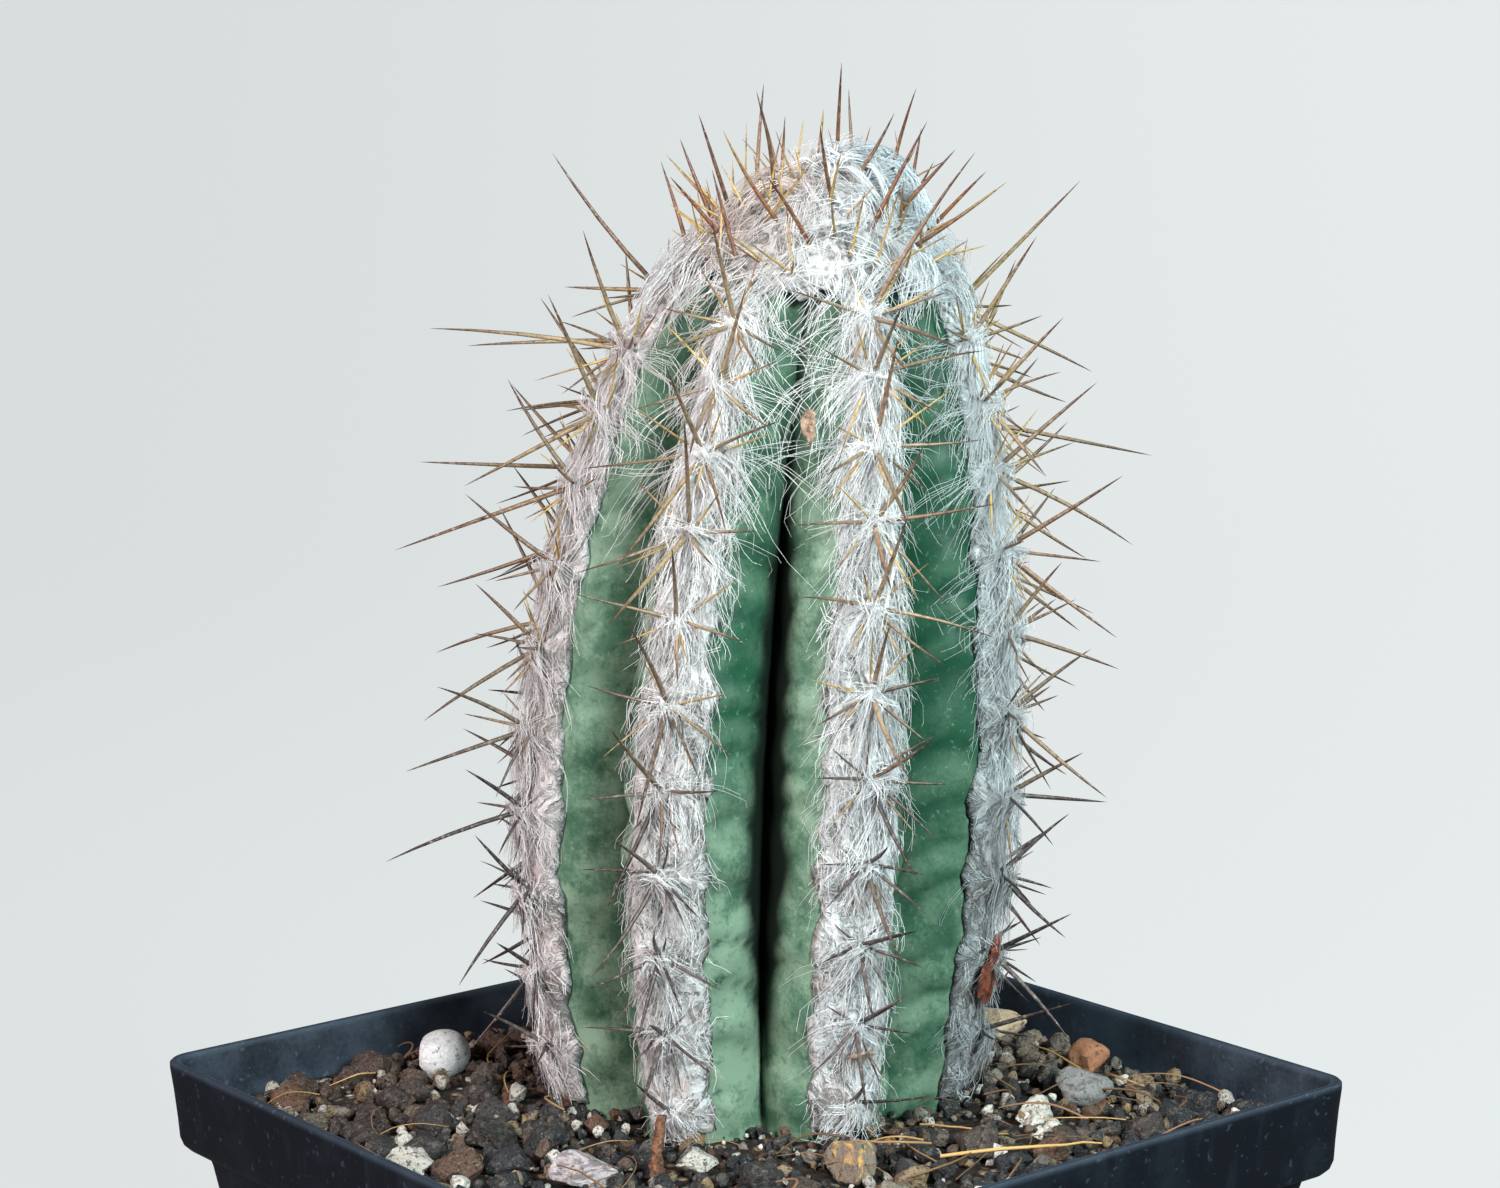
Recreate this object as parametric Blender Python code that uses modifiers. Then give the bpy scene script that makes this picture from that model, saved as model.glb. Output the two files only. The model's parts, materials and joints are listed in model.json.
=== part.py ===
"""A young woolly column cactus in a square nursery pot filled with grit.

Blender 4.5, metres, +Z up. The origin is the middle of the pot's underside, and
the pot's sides run along X and Y. The cactus stands a little off the pot's
middle and leans slightly as it rises.
"""

import math
import random

import bmesh
import bpy
import numpy as np
from mathutils import Matrix, Vector

MM = 0.001
GAP = 0.35 * MM  # left between two pieces that touch

# Pot: a thin moulded shell with a collar round its mouth
POT_HEIGHT = 85 * MM
RIM_SIDE = 100 * MM
COLLAR_HEIGHT = 11.6 * MM
COLLAR_FOOT_SIDE = 98.6 * MM
BODY_TOP_SIDE = 93.4 * MM
BASE_SIDE = 70 * MM
BASE_CHAMFER = 1.2 * MM
CORNER_RADIUS = 3.4 * MM
WALL = 1.1 * MM
DRAIN_HOLES = (  # distance out from the middle, radius, first angle in degrees
    (31 * MM, 4.5 * MM, 45),
    (25 * MM, 3.0 * MM, 0),
)

# Grit: its level at the pot's wall and where the stem stands
GRIT_EDGE_LEVEL = 79.4 * MM
GRIT_STEM_LEVEL = 81.4 * MM
GRIT_SEED = 11
GRAIN_COUNT = 92
GRAIN_RADIUS = (1.9 * MM, 3.3 * MM)
GRAIN_SPACING = 0.8  # between two grains' middles, as a share of their radii together

# Stem: ribs round an axis that stands at STEM_FOOT and leans towards LEAN_ANGLE
STEM_FOOT = Vector((7.9 * MM, 6.3 * MM, GRIT_STEM_LEVEL))
LEAN_ANGLE = math.radians(-37.7)
LEAN = 8.2 * MM  # sideways travel of the axis at LEAN_HEIGHT
LEAN_HEIGHT = 105 * MM
RIBS = 8
FIRST_RIB_ANGLE = math.radians(28.6)
RIB_PITCH = math.tau / RIBS
STEM_PROFILE = (  # height above the grit, radius at a rib's crest, rib depth, in mm
    (-16, 11, 0.4),
    (-9, 20.5, 3),
    (0, 24.3, 6.5),
    (14, 26.8, 8.7),
    (34, 28.5, 9.7),
    (54, 27.4, 9.5),
    (70, 24.8, 8.7),
    (84, 21.1, 7.1),
    (94, 16.3, 5.0),
    (100.5, 11.0, 2.6),
    (104.2, 5.6, 0.8),
    (105.4, 0, 0),
)
RIB_STEPS = (-0.78, -0.4, 0, 0.4, 0.78, 1)  # places across a rib, 0 its crest, 1 its furrow
RIB_ROUNDNESS = (2.6, 0.8)  # powers that shape a rib's section, from its crest to its furrow
BULGE = 0.5 * MM  # swelling of a rib's flank beside each areole
STEM_HOLE_TOP = 12 * MM  # how far the cutter for the stem's hole rises past the grit

# Areoles: the felted spots along each crest, which bear the wool and the spines
FIRST_AREOLE = tuple(d * MM for d in (5.5, 2.6, 6.8, 7.4, 3.6, 4.6, 8.6, 3.2))
AREOLE_PITCH = 9.4 * MM
CROWN_PITCH = 5.6 * MM  # their pitch where the rib meets the crown
WOOL_START = 0.7 * MM  # distances along a rib, from the grit
WOOL_END = 97 * MM
WOOL_LIFT = 0.45 * MM  # the wool's underside above the stem
WOOL_THICK = (1.9 * MM, 2.9 * MM)  # between areoles, and at one
WOOL_REACH = (0.43, 0.52)  # its edge as a share of the rib's half width, likewise
WOOL_SIDE = 0.4  # where its underside ends, as a share of the rib's half width
WOOL_ARCH = ((1, 0.4), (0.55, 0.88), (0, 1.06))  # share of its reach, share of its thickness
CROWN_START = 98.2 * MM
CROWN_THICK = 3.3 * MM
CROWN_CLEAR = 0.75 * MM  # under the crown's wool, where ribs and furrows meet the apex
CROWN_TUFT = 0.5 * MM
CROWN_TIP = 0.3 * MM  # how far below the apex its cap's top is measured, where the stem still slopes
CROWN_SIDES = 24

# Spines: name, turn round the areole from straight up, rise off the surface, length
RIB_SPINES = (
    ("lower", 180, 48, 18.5),
    ("upper", 8, 50, 15.0),
    ("left", 98, 24, 12.5),
    ("right", -98, 24, 12.5),
    ("low_left", 142, 27, 11.5),
)
LONG_SPINES = {  # (rib, areole): turn, rise, length of one that stands in for its upper or lower
    (2, 7): (112, 58, 20),
    (2, 9): (130, 50, 19.5),
    (2, 10): (42, 62, 20.5),
    (3, 3): (-150, 66, 17),
    (3, 4): (-155, 64, 15),
    (3, 6): (-165, 50, 22),
    (3, 7): (-160, 52, 22),
    (3, 9): (-136, 62, 22.5),
    (4, 4): (-164, 20, 15),
    (4, 6): (-149, 18, 16),
    (5, 6): (149, 18, 11.5),
    (5, 10): (34, 33, 21.5),
    (6, 3): (98, 70, 11.5),
    (6, 5): (145, 65, 13.5),
    (6, 6): (168, 47, 16.5),
    (6, 9): (155, 50, 16),
    (7, 8): (-123, 54, 20.5),
    (7, 10): (-36, 58, 20.5),
}
SPINE_SWAY = 26  # most that a spine's turn strays, in degrees
SPINE_LIFT = (-14, 16)  # how far its rise strays
SPINE_STRETCH = (0.72, 1.2)  # and its length, as a share
SPINE_VIGOUR = ((34 * MM, 0.66), (66 * MM, 1), (98 * MM, 0.8))  # place along a rib, share of length
SPINE_RADIUS = 0.42 * MM
SPINE_ROOT = 1.5 * MM  # height of a spine's root over the stem, inside the wool
CROWN_SPINES = 26
CROWN_SPINE_ROOT = 1.8 * MM
CROWN_SPINE_LENGTH = (9 * MM, 14.5 * MM)
CROWN_SPREAD = 0.55
SPINE_SEED = 5
SPINE_CLEARANCE = 1.25 * MM  # between spines of unlike areoles
TIP_OVER_GRIT = 5.5 * MM
TIP_OVER_RIM = 2.5 * MM
TRIES = 14

# Loose pieces lying on the grit: place, size, turn
STONES = {
    "pebble_white": ((-17.5, 38.0), (3.6, 3.1, 2.9), 20),
    "stone_ochre": ((-5.0, -26.5), (3.6, 3.0, 2.9), 65),
    "stone_tan": ((40.5, 1.5), (4.6, 2.9, 2.3), -30),
    "stone_grey": ((33.0, -22.5), (3.6, 3.1, 2.4), 10),
    "stone_striped": ((-29.5, -8.5), (3.9, 2.7, 2.2), -50),
    "stone_russet": ((42.0, -14.0), (3.0, 2.4, 2.0), 40),
}
STONE_RISE = 0.45  # height of a stone's middle over the grit, as a share of its half height
TWIG_PLACE = (-23.6 * MM, -13.6 * MM)
TWIG_LENGTH = 11 * MM
TWIG_RADIUS = 0.75 * MM
TWIG_DEPTH = 4 * MM
TWIG_LEAN = math.radians(9)
TWIG_STATIONS = (  # share of its length, share of its radius, sideways bend in mm
    (0, 0.9, 0),
    (0.3, 1, 0.2),
    (0.62, 0.86, -0.25),
    (1, 0.72, 0.1),
)
TWIG_SIDES = 7


def main():
    for thing in list(bpy.data.objects):
        bpy.data.objects.remove(thing)
    plant = new_collection("potted_cactus")
    cutters = new_collection("cutters")

    make_pot(plant, cutters)
    make_stem(plant)
    stones = make_stones(plant)
    twig = make_twig(plant)
    make_grit(plant, stones, twig)
    make_wool_and_spines(plant)


def new_collection(name):
    collection = bpy.data.collections.new(name)
    bpy.context.scene.collection.children.link(collection)
    return collection


def surface_material(name, colour, roughness):
    """A plain Principled material, shared by name."""
    found = bpy.data.materials.get(name)
    if found:
        return found
    material = bpy.data.materials.new(name)
    material.use_nodes = True
    shader = material.node_tree.nodes["Principled BSDF"]
    shader.inputs["Base Color"].default_value = (*colour, 1)
    shader.inputs["Roughness"].default_value = roughness
    shader.inputs["Metallic"].default_value = 0
    material.diffuse_color = (*colour, 1)
    return material


def object_from(mesh, name, collection, material=None):
    thing = bpy.data.objects.new(name, mesh)
    collection.objects.link(thing)
    if material:
        mesh.materials.append(material)
    return thing


def loft(rings, tip=None):
    """A closed mesh through rings of equal length, from the lowest up; a tip closes it in a point."""
    shape = bmesh.new()
    loops = [[shape.verts.new(point) for point in ring] for ring in rings]
    count = len(loops[0])
    for lower, upper in zip(loops, loops[1:]):
        for i in range(count):
            j = (i + 1) % count
            shape.faces.new((lower[i], lower[j], upper[j]))
            shape.faces.new((lower[i], upper[j], upper[i]))
    shape.faces.new(list(reversed(loops[0])))
    if tip is None:
        shape.faces.new(loops[-1])
    else:
        peak = shape.verts.new(tip)
        for i in range(count):
            shape.faces.new((loops[-1][i], loops[-1][(i + 1) % count], peak))
    return finished(shape, "loft")


def finished(shape, name):
    """The bmesh as a mesh with its faces outwards and its round parts smooth."""
    bmesh.ops.recalc_face_normals(shape, faces=shape.faces)
    mesh = bpy.data.meshes.new(name)
    shape.to_mesh(mesh)
    shape.free()
    mesh.shade_smooth()
    mesh.set_sharp_from_angle(angle=math.radians(40))
    return mesh


def apply_boolean(target, others, operation, solver="EXACT"):
    """Joins or cuts target by a collection of closed meshes, then removes them."""
    modifier = target.modifiers.new(operation.lower(), "BOOLEAN")
    modifier.operation = operation
    modifier.operand_type = "COLLECTION"
    modifier.collection = others
    modifier.solver = solver
    graph = bpy.context.evaluated_depsgraph_get()
    joined = bpy.data.meshes.new_from_object(target.evaluated_get(graph))
    target.modifiers.remove(modifier)
    target.data = joined
    for thing in list(others.objects):
        bpy.data.objects.remove(thing)
    bpy.data.collections.remove(others)


# Pot


def rounded_square(side, radius, level, arc_steps=4, side_steps=0):
    """The points of a level square with round corners, anticlockwise."""
    points = []
    inner = side / 2 - radius
    for quarter in range(4):
        turn = Matrix.Rotation(quarter * math.pi / 2, 3, "Z")
        for step in range(arc_steps + 1):
            angle = step / arc_steps * math.pi / 2
            corner = (inner + radius * math.cos(angle), inner + radius * math.sin(angle), level)
            points.append(turn @ Vector(corner))
        for step in range(1, side_steps + 1):
            along = inner - 2 * inner * step / (side_steps + 1)
            points.append(turn @ Vector((along, side / 2, level)))
    return points


def make_pot(plant, cutters):
    """An open shell from base to rim, thickened inwards, with holes through its floor."""
    body_top = POT_HEIGHT - COLLAR_HEIGHT
    stations = (
        (0, BASE_SIDE - 2 * BASE_CHAMFER),
        (BASE_CHAMFER, BASE_SIDE),
        (body_top, BODY_TOP_SIDE),
        (body_top + 0.7 * MM, COLLAR_FOOT_SIDE),
        (POT_HEIGHT, RIM_SIDE),
    )
    shape = bmesh.new()
    loops = []
    for level, side in stations:
        ring = rounded_square(side, CORNER_RADIUS, level)
        loops.append([shape.verts.new(point) for point in ring])
    count = len(loops[0])
    for lower, upper in zip(loops, loops[1:]):
        for i in range(count):
            j = (i + 1) % count
            shape.faces.new((lower[i], lower[j], upper[j], upper[i]))
    shape.faces.new(list(reversed(loops[0])))
    mesh = bpy.data.meshes.new("pot")
    shape.to_mesh(mesh)
    shape.free()

    plastic = surface_material("pot_plastic", (0.016, 0.019, 0.026), 0.45)
    pot = object_from(mesh, "pot", plant, plastic)
    shell = pot.modifiers.new("wall", "SOLIDIFY")
    shell.thickness = WALL
    shell.offset = -1
    shell.use_even_offset = True

    for distance, radius, first in DRAIN_HOLES:
        for quarter in range(4):
            angle = math.radians(first + 90 * quarter)
            place = Vector((distance * math.cos(angle), distance * math.sin(angle), 0))
            cutter = cylinder(radius, 6 * MM, place, f"drain_{first}_{quarter}", cutters)
            cutter.hide_render = True
            cutter.display_type = "WIRE"
    holes = pot.modifiers.new("drain_holes", "BOOLEAN")
    holes.operation = "DIFFERENCE"
    holes.operand_type = "COLLECTION"
    holes.collection = cutters


def cylinder(radius, height, middle, name, collection, sides=16):
    shape = bmesh.new()
    bmesh.ops.create_cone(
        shape, cap_ends=True, segments=sides, radius1=radius, radius2=radius, depth=height
    )
    bmesh.ops.translate(shape, verts=shape.verts, vec=middle)
    return object_from(finished(shape, name), name, collection)


# Stem


def smooth_curve(points, steps=40):
    """Points on a Catmull-Rom curve through the given ones, level where it reaches the apex."""
    points = np.asarray(points, float)
    before = 2 * points[0] - points[1]
    after = points[-2] * (1, -1, 1)
    padded = np.vstack([before, points, after])
    found = []
    for i in range(1, len(padded) - 2):
        a, b, c, d = padded[i - 1 : i + 3]
        for step in range(steps):
            t = step / steps
            found.append(
                0.5 * (2 * b + (c - a) * t + (2 * a - 5 * b + 4 * c - d) * t**2)
                + 0.5 * (3 * b - a - 3 * c + d) * t**3
            )
    return np.array(found + [points[-1]])


CURVE = smooth_curve(STEM_PROFILE) * MM
LENGTHS = np.concatenate([[0], np.cumsum(np.hypot(*np.diff(CURVE[:, :2], axis=0).T))])
LENGTHS -= np.interp(0, CURVE[:, 0], LENGTHS)  # measured along a crest from the grit
STEM_BOTTOM, STEM_TOP = LENGTHS[0], LENGTHS[-1]


def across_rib(angle):
    """(rib number, place across it): 0 on the crest, 1 or -1 in the furrow beside it."""
    turns = (angle - FIRST_RIB_ANGLE) / RIB_PITCH
    rib = round(turns)
    return rib % RIBS, 2 * (turns - rib)


def rib_angle(rib, place=0.0):
    return FIRST_RIB_ANGLE + RIB_PITCH * (rib + place / 2)


def areoles(rib):
    """Distances along a rib's crest at which its areoles sit, closer together near the crown."""
    found = []
    along = FIRST_AREOLE[rib]
    while along < WOOL_END - 2 * MM:
        found.append(along)
        near_crown = min(max((along - 62 * MM) / (35 * MM), 0), 1)
        along += AREOLE_PITCH + (CROWN_PITCH - AREOLE_PITCH) * near_crown
    return found


def stem_point(angle, along):
    """The stem's surface at an angle round the axis and a distance along the crest."""
    height = float(np.interp(along, LENGTHS, CURVE[:, 0]))
    crest = float(np.interp(along, LENGTHS, CURVE[:, 1]))
    depth = float(np.interp(along, LENGTHS, CURVE[:, 2]))
    rib, place = across_rib(angle)
    flank = abs(place)
    rise, fall = RIB_ROUNDNESS
    radius = crest - depth * (1 - max(1 - flank**rise, 0) ** fall)
    phase = math.tau * (along - FIRST_AREOLE[rib]) / AREOLE_PITCH
    beside = max(0, flank - 0.5) * max(0, 1 - flank) * 16
    radius += BULGE * beside * math.cos(phase) * min(depth / (8 * MM), 1)
    lean = LEAN * (max(height, 0) / LEAN_HEIGHT) ** 2
    return STEM_FOOT + Vector(
        (
            radius * math.cos(angle) + lean * math.cos(LEAN_ANGLE),
            radius * math.sin(angle) + lean * math.sin(LEAN_ANGLE),
            height,
        )
    )


def stem_frame(angle, along):
    """(point, outward normal, direction up the rib, direction across it) on the stem's surface."""
    step = 0.3 * MM
    turn = 0.01
    here = stem_point(angle, along)
    up = (stem_point(angle, along + step) - stem_point(angle, along - step)).normalized()
    side = (stem_point(angle + turn, along) - stem_point(angle - turn, along)).normalized()
    normal = side.cross(up).normalized()
    return here, normal, up, side


def lifted(angle, along, lift):
    here, normal, _, _ = stem_frame(angle, along)
    return here + normal * lift


def stem_rings(grow=0.0, top=None):
    """Rings round the ribbed stem, from its buried foot upwards, each pushed out by grow."""
    half = AREOLE_PITCH / 2
    alongs = [STEM_BOTTOM, STEM_BOTTOM + 6 * MM, -5 * MM]
    alongs += [i * half for i in range(int(100 * MM / half) + 1)]
    alongs += [STEM_TOP - back * MM for back in (9.5, 5.5, 2.4)]
    if top is not None:
        alongs = [along for along in alongs if along < top] + [top]
    rings = []
    for along in alongs:
        ring = []
        for rib in range(RIBS):
            for place in RIB_STEPS:
                ring.append(lifted(rib_angle(rib, place), along, grow))
        rings.append(ring)
    return rings


def make_stem(plant):
    green = surface_material("stem_skin", (0.105, 0.27, 0.165), 0.5)
    mesh = loft(stem_rings(), tip=stem_point(0, STEM_TOP))
    object_from(mesh, "stem", plant, green)


# Grit, stones and twig


def grit_level(x, y):
    """The grit's mean surface: highest where the stem stands."""
    from_stem = math.hypot(x - STEM_FOOT.x, y - STEM_FOOT.y)
    share = min(from_stem / (52 * MM), 1)
    return GRIT_STEM_LEVEL + (GRIT_EDGE_LEVEL - GRIT_STEM_LEVEL) * share**2


def rough_stone(size, turn, middle, draw, roughness=0.14, steps=1):
    """A closed lump: an icosphere with each corner pushed in or out, stretched and turned."""
    shape = bmesh.new()
    bmesh.ops.create_icosphere(shape, subdivisions=steps, radius=1)
    for corner in shape.verts:
        corner.co *= 1 + draw.uniform(-roughness, roughness)
    bmesh.ops.scale(shape, verts=shape.verts, vec=size)
    bmesh.ops.rotate(shape, verts=shape.verts, matrix=turn)
    bmesh.ops.translate(shape, verts=shape.verts, vec=middle)
    return shape


def any_turn(draw):
    return Matrix.Rotation(draw.uniform(0, math.tau), 3, "Z") @ Matrix.Rotation(
        draw.uniform(-0.5, 0.5), 3, "X"
    )


def make_stones(plant):
    """The larger stones that lie loose, each sunk a little into the grit."""
    colours = {
        "pebble_white": (0.58, 0.57, 0.57),
        "stone_ochre": (0.42, 0.29, 0.1),
        "stone_tan": (0.45, 0.33, 0.2),
        "stone_grey": (0.2, 0.21, 0.2),
        "stone_striped": (0.4, 0.38, 0.39),
        "stone_russet": (0.36, 0.14, 0.07),
    }
    made = {}
    for name, (place, size, turn) in STONES.items():
        draw = random.Random(name)
        x, y = place[0] * MM, place[1] * MM
        size = [length * MM for length in size]
        middle = Vector((x, y, grit_level(x, y) + size[2] * STONE_RISE))
        spin = Matrix.Rotation(math.radians(turn), 3, "Z")
        shape = rough_stone(size, spin, middle, draw, roughness=0.1, steps=2)
        stone = surface_material(name, colours[name], 0.85)
        object_from(finished(shape, name), name, plant, stone)
        draw = random.Random(name)
        grown = [length + GAP for length in size]
        pocket = rough_stone(grown, spin, middle, draw, roughness=0.1, steps=2)
        made[name] = (pocket, middle, max(size))
    return made


def make_twig(plant):
    """A short stub of dry twig standing in the grit; returns the mesh of its pocket."""
    bark = surface_material("twig_bark", (0.13, 0.055, 0.03), 0.85)
    object_from(loft(twig_rings()), "twig", plant, bark)
    return loft(twig_rings(grow=GAP))


def twig_rings(grow=0.0):
    x, y = TWIG_PLACE
    foot = Vector((x, y, grit_level(x, y) - TWIG_DEPTH))
    lean = Matrix.Rotation(TWIG_LEAN, 3, "Y")
    rings = []
    for share, girth, bend in TWIG_STATIONS:
        radius = TWIG_RADIUS * girth + grow
        lift = share * TWIG_LENGTH - (grow if share == 0 else 0)
        ring = []
        for side in range(TWIG_SIDES):
            angle = side * math.tau / TWIG_SIDES
            across = radius * math.cos(angle) + bend * MM
            ring.append(foot + lean @ Vector((across, radius * math.sin(angle), lift)))
        rings.append(ring)
    return rings


def make_grit(plant, stones, twig):
    """The pot's filling: a block studded with grains, with pockets for what stands in it."""
    inner = WALL + GAP
    body_top = POT_HEIGHT - COLLAR_HEIGHT
    ledge = body_top + WALL
    low = 4 * MM
    low_side = BASE_SIDE + (BODY_TOP_SIDE - BASE_SIDE) * low / body_top
    wall_stations = (
        (inner, BASE_SIDE - 2 * inner - 2.6 * MM),
        (low, low_side - 2 * inner - 0.3 * MM),
        (ledge + 0.7 * MM, BODY_TOP_SIDE - 2 * inner - 0.1 * MM),
        (ledge + 1.7 * MM, COLLAR_FOOT_SIDE - 2 * inner - 0.3 * MM),
        (GRIT_EDGE_LEVEL, COLLAR_FOOT_SIDE - 2 * inner),
    )
    radius = CORNER_RADIUS - inner
    rings = [
        rounded_square(side, radius, level, arc_steps=3, side_steps=2)
        for level, side in wall_stations
    ]
    edge = rings[-1]
    for share in (0.4, 0.75, 1):
        ring = []
        for point in edge:
            angle = math.atan2(point.y, point.x)
            near = STEM_FOOT + Vector((math.cos(angle), math.sin(angle), 0)) * 31 * MM
            x = point.x + (near.x - point.x) * share
            y = point.y + (near.y - point.y) * share
            ring.append(Vector((x, y, grit_level(x, y))))
        rings.append(ring)
    mesh = loft(rings)
    earth = surface_material("grit", (0.075, 0.06, 0.05), 0.95)
    grit = object_from(mesh, "grit", plant, earth)

    grains = new_collection("grains")
    for number, (x, y, size) in enumerate(grain_places(stones)):
        draw = random.Random(f"{GRIT_SEED} {number}")
        middle = Vector((x, y, grit_level(x, y) + size * draw.uniform(-0.05, 0.25)))
        scale = (size * draw.uniform(0.9, 1.25), size, size * draw.uniform(0.65, 0.9))
        shape = rough_stone(scale, any_turn(draw), middle, draw)
        object_from(finished(shape, f"grain_{number}"), f"grain_{number}", grains)
    apply_boolean(grit, grains, "UNION", solver="MANIFOLD")

    pockets = new_collection("pockets")
    hole = loft(stem_rings(grow=GAP, top=STEM_HOLE_TOP))
    object_from(hole, "stem_hole", pockets)
    lowest = min(corner.co.z for corner in hole.vertices)
    for corner in hole.vertices:
        if corner.co.z < lowest + GAP:
            corner.co.z -= GAP
    for name, (shape, _, _) in stones.items():
        object_from(finished(shape, f"pocket_{name}"), f"pocket_{name}", pockets)
    object_from(twig, "pocket_twig", pockets)
    apply_boolean(grit, pockets, "DIFFERENCE", solver="MANIFOLD")


def grain_places(stones):
    """Seeded places for grains, clear of the stem, its wool, the wall and the loose pieces."""
    draw = random.Random(GRIT_SEED)
    keep_off = [(middle.x, middle.y, reach) for _, middle, reach in stones.values()]
    keep_off.append((TWIG_PLACE[0], TWIG_PLACE[1], TWIG_RADIUS + 0.4 * MM))
    keep_off.append((STEM_FOOT.x, STEM_FOOT.y, 28.6 * MM))
    reach = COLLAR_FOOT_SIDE / 2 - WALL - GAP
    found = []
    for _ in range(6000):
        if len(found) == GRAIN_COUNT:
            break
        size = draw.uniform(*GRAIN_RADIUS)
        x, y = (draw.uniform(-1, 1) * (reach - size * 1.5) for _ in range(2))
        in_corner = min(abs(x), abs(y)) > reach - CORNER_RADIUS
        clear = not in_corner and all(
            math.hypot(x - ox, y - oy) > other + size * 1.3 + GAP for ox, oy, other in keep_off
        )
        apart = all(
            math.hypot(x - ox, y - oy) > GRAIN_SPACING * (size + other) for ox, oy, other in found
        )
        if clear and apart:
            found.append((x, y, size))
    return found


# Wool and spines


def wool_section(rib, along, at_areole):
    """A closed section of a rib's wool: three points on the stem's side, five arched over them."""
    thick = WOOL_THICK[1] if at_areole else WOOL_THICK[0]
    reach = WOOL_REACH[1] if at_areole else WOOL_REACH[0]
    under = (-WOOL_SIDE, 0, WOOL_SIDE)
    section = [lifted(rib_angle(rib, place), along, WOOL_LIFT) for place in under]
    falling = [(-place, share) for place, share in reversed(WOOL_ARCH[:-1])]
    for place, share in (*WOOL_ARCH, *falling):
        section.append(lifted(rib_angle(rib, place * reach), along, WOOL_LIFT + thick * share))
    return section


def wool_stations(rib):
    """(distance along the rib, whether an areole sits there), from the grit to the crown."""
    spots = areoles(rib)
    stations = [(WOOL_START, False)]
    for i, spot in enumerate(spots):
        stations.append((spot, True))
        after = spots[i + 1] if i + 1 < len(spots) else WOOL_END
        stations.append((spot + (after - spot) * 0.55, False))
    return stations + [(WOOL_END, False)]


class Needles:
    """Places spines so that none of them passes through another."""

    def __init__(self):
        self.feet = np.empty((0, 3))
        self.tips = np.empty((0, 3))
        self.homes = []

    def nearest(self, foot, tip, home):
        """Least distance from a new spine to those of other areoles."""
        others = [i for i, other in enumerate(self.homes) if other != home]
        if not others:
            return math.inf
        a, b = self.feet[others], self.tips[others]
        run = b - a
        samples = np.linspace(foot, tip, 22)
        nearest = math.inf
        for sample in samples:
            share = np.clip(((sample - a) * run).sum(1) / (run * run).sum(1), 0, 1)
            distance = np.linalg.norm(a + run * share[:, None] - sample, axis=1).min()
            nearest = min(nearest, distance)
        return nearest

    def add(self, foot, tip, home):
        self.feet = np.vstack([self.feet, foot])
        self.tips = np.vstack([self.tips, tip])
        self.homes.append(home)


def aim(normal, up, side, turn, rise):
    """A direction turned round the areole from straight up the rib, rising off its surface."""
    turn, rise = math.radians(turn), math.radians(rise)
    level = up * math.cos(turn) + side * math.sin(turn)
    return (level * math.cos(rise) + normal * math.sin(rise)).normalized()


def long_name(rib, number):
    """Which of an areole's spines its long one stands in for."""
    turn = LONG_SPINES.get((rib, number), (None,))[0]
    if turn is None:
        return None
    return "lower" if abs(turn) > 90 else "upper"


def allowed(tip):
    """A spine's tip stays off the grit, the stones and the pot's rim."""
    if tip.z < grit_level(tip.x, tip.y) + TIP_OVER_GRIT:
        return False
    over_wall = max(abs(tip.x), abs(tip.y)) > RIM_SIDE / 2 - 5 * MM
    return not (over_wall and tip.z < POT_HEIGHT + TIP_OVER_RIM)


def spine_plan():
    """{node: [(root, tip)]}: the main spines of every areole, then those of the crown."""
    needles = Needles()
    plan = {}
    for rib in range(RIBS):
        for number, along in enumerate(areoles(rib)):
            foot, normal, up, side = stem_frame(rib_angle(rib), along)
            home = (rib, number)
            vigour = np.interp(along, *zip(*SPINE_VIGOUR))
            for name, turn, rise, length in RIB_SPINES:
                draw = random.Random(f"{SPINE_SEED} {rib} {number} {name}")
                root = foot + normal * SPINE_ROOT
                for _ in range(TRIES):
                    sway = turn + draw.uniform(-SPINE_SWAY, SPINE_SWAY)
                    lift = rise + draw.uniform(*SPINE_LIFT)
                    reach = length * draw.uniform(*SPINE_STRETCH) * vigour
                    if name == long_name(rib, number):
                        sway, lift, reach = LONG_SPINES[rib, number]
                    way = aim(normal, up, side, sway, lift)
                    tip = root + way * reach * MM
                    if allowed(tip) and needles.nearest(root, tip, home) > SPINE_CLEARANCE:
                        needles.add(root, tip, home)
                        plan.setdefault(f"wool_rib_{rib + 1}", []).append((root, tip))
                        break
    for number in range(CROWN_SPINES):
        draw = random.Random(f"{SPINE_SEED} crown {number}")
        share = math.sqrt((number + 0.5) / CROWN_SPINES)
        angle = number * math.pi * (3 - math.sqrt(5))
        along = STEM_TOP - (STEM_TOP - CROWN_START - 2.2 * MM) * share
        foot, normal, up, side = crown_frame(angle, along)
        for _ in range(TRIES):
            spread = Vector((draw.uniform(-1, 1), draw.uniform(-1, 1), draw.uniform(0.1, 1)))
            way = (normal + spread * CROWN_SPREAD).normalized()
            tip = foot + way * draw.uniform(*CROWN_SPINE_LENGTH)
            if needles.nearest(foot, tip, ("crown", number)) > SPINE_CLEARANCE:
                needles.add(foot, tip, ("crown", number))
                plan.setdefault("wool_crown", []).append((foot, tip))
                break
    return plan


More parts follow.
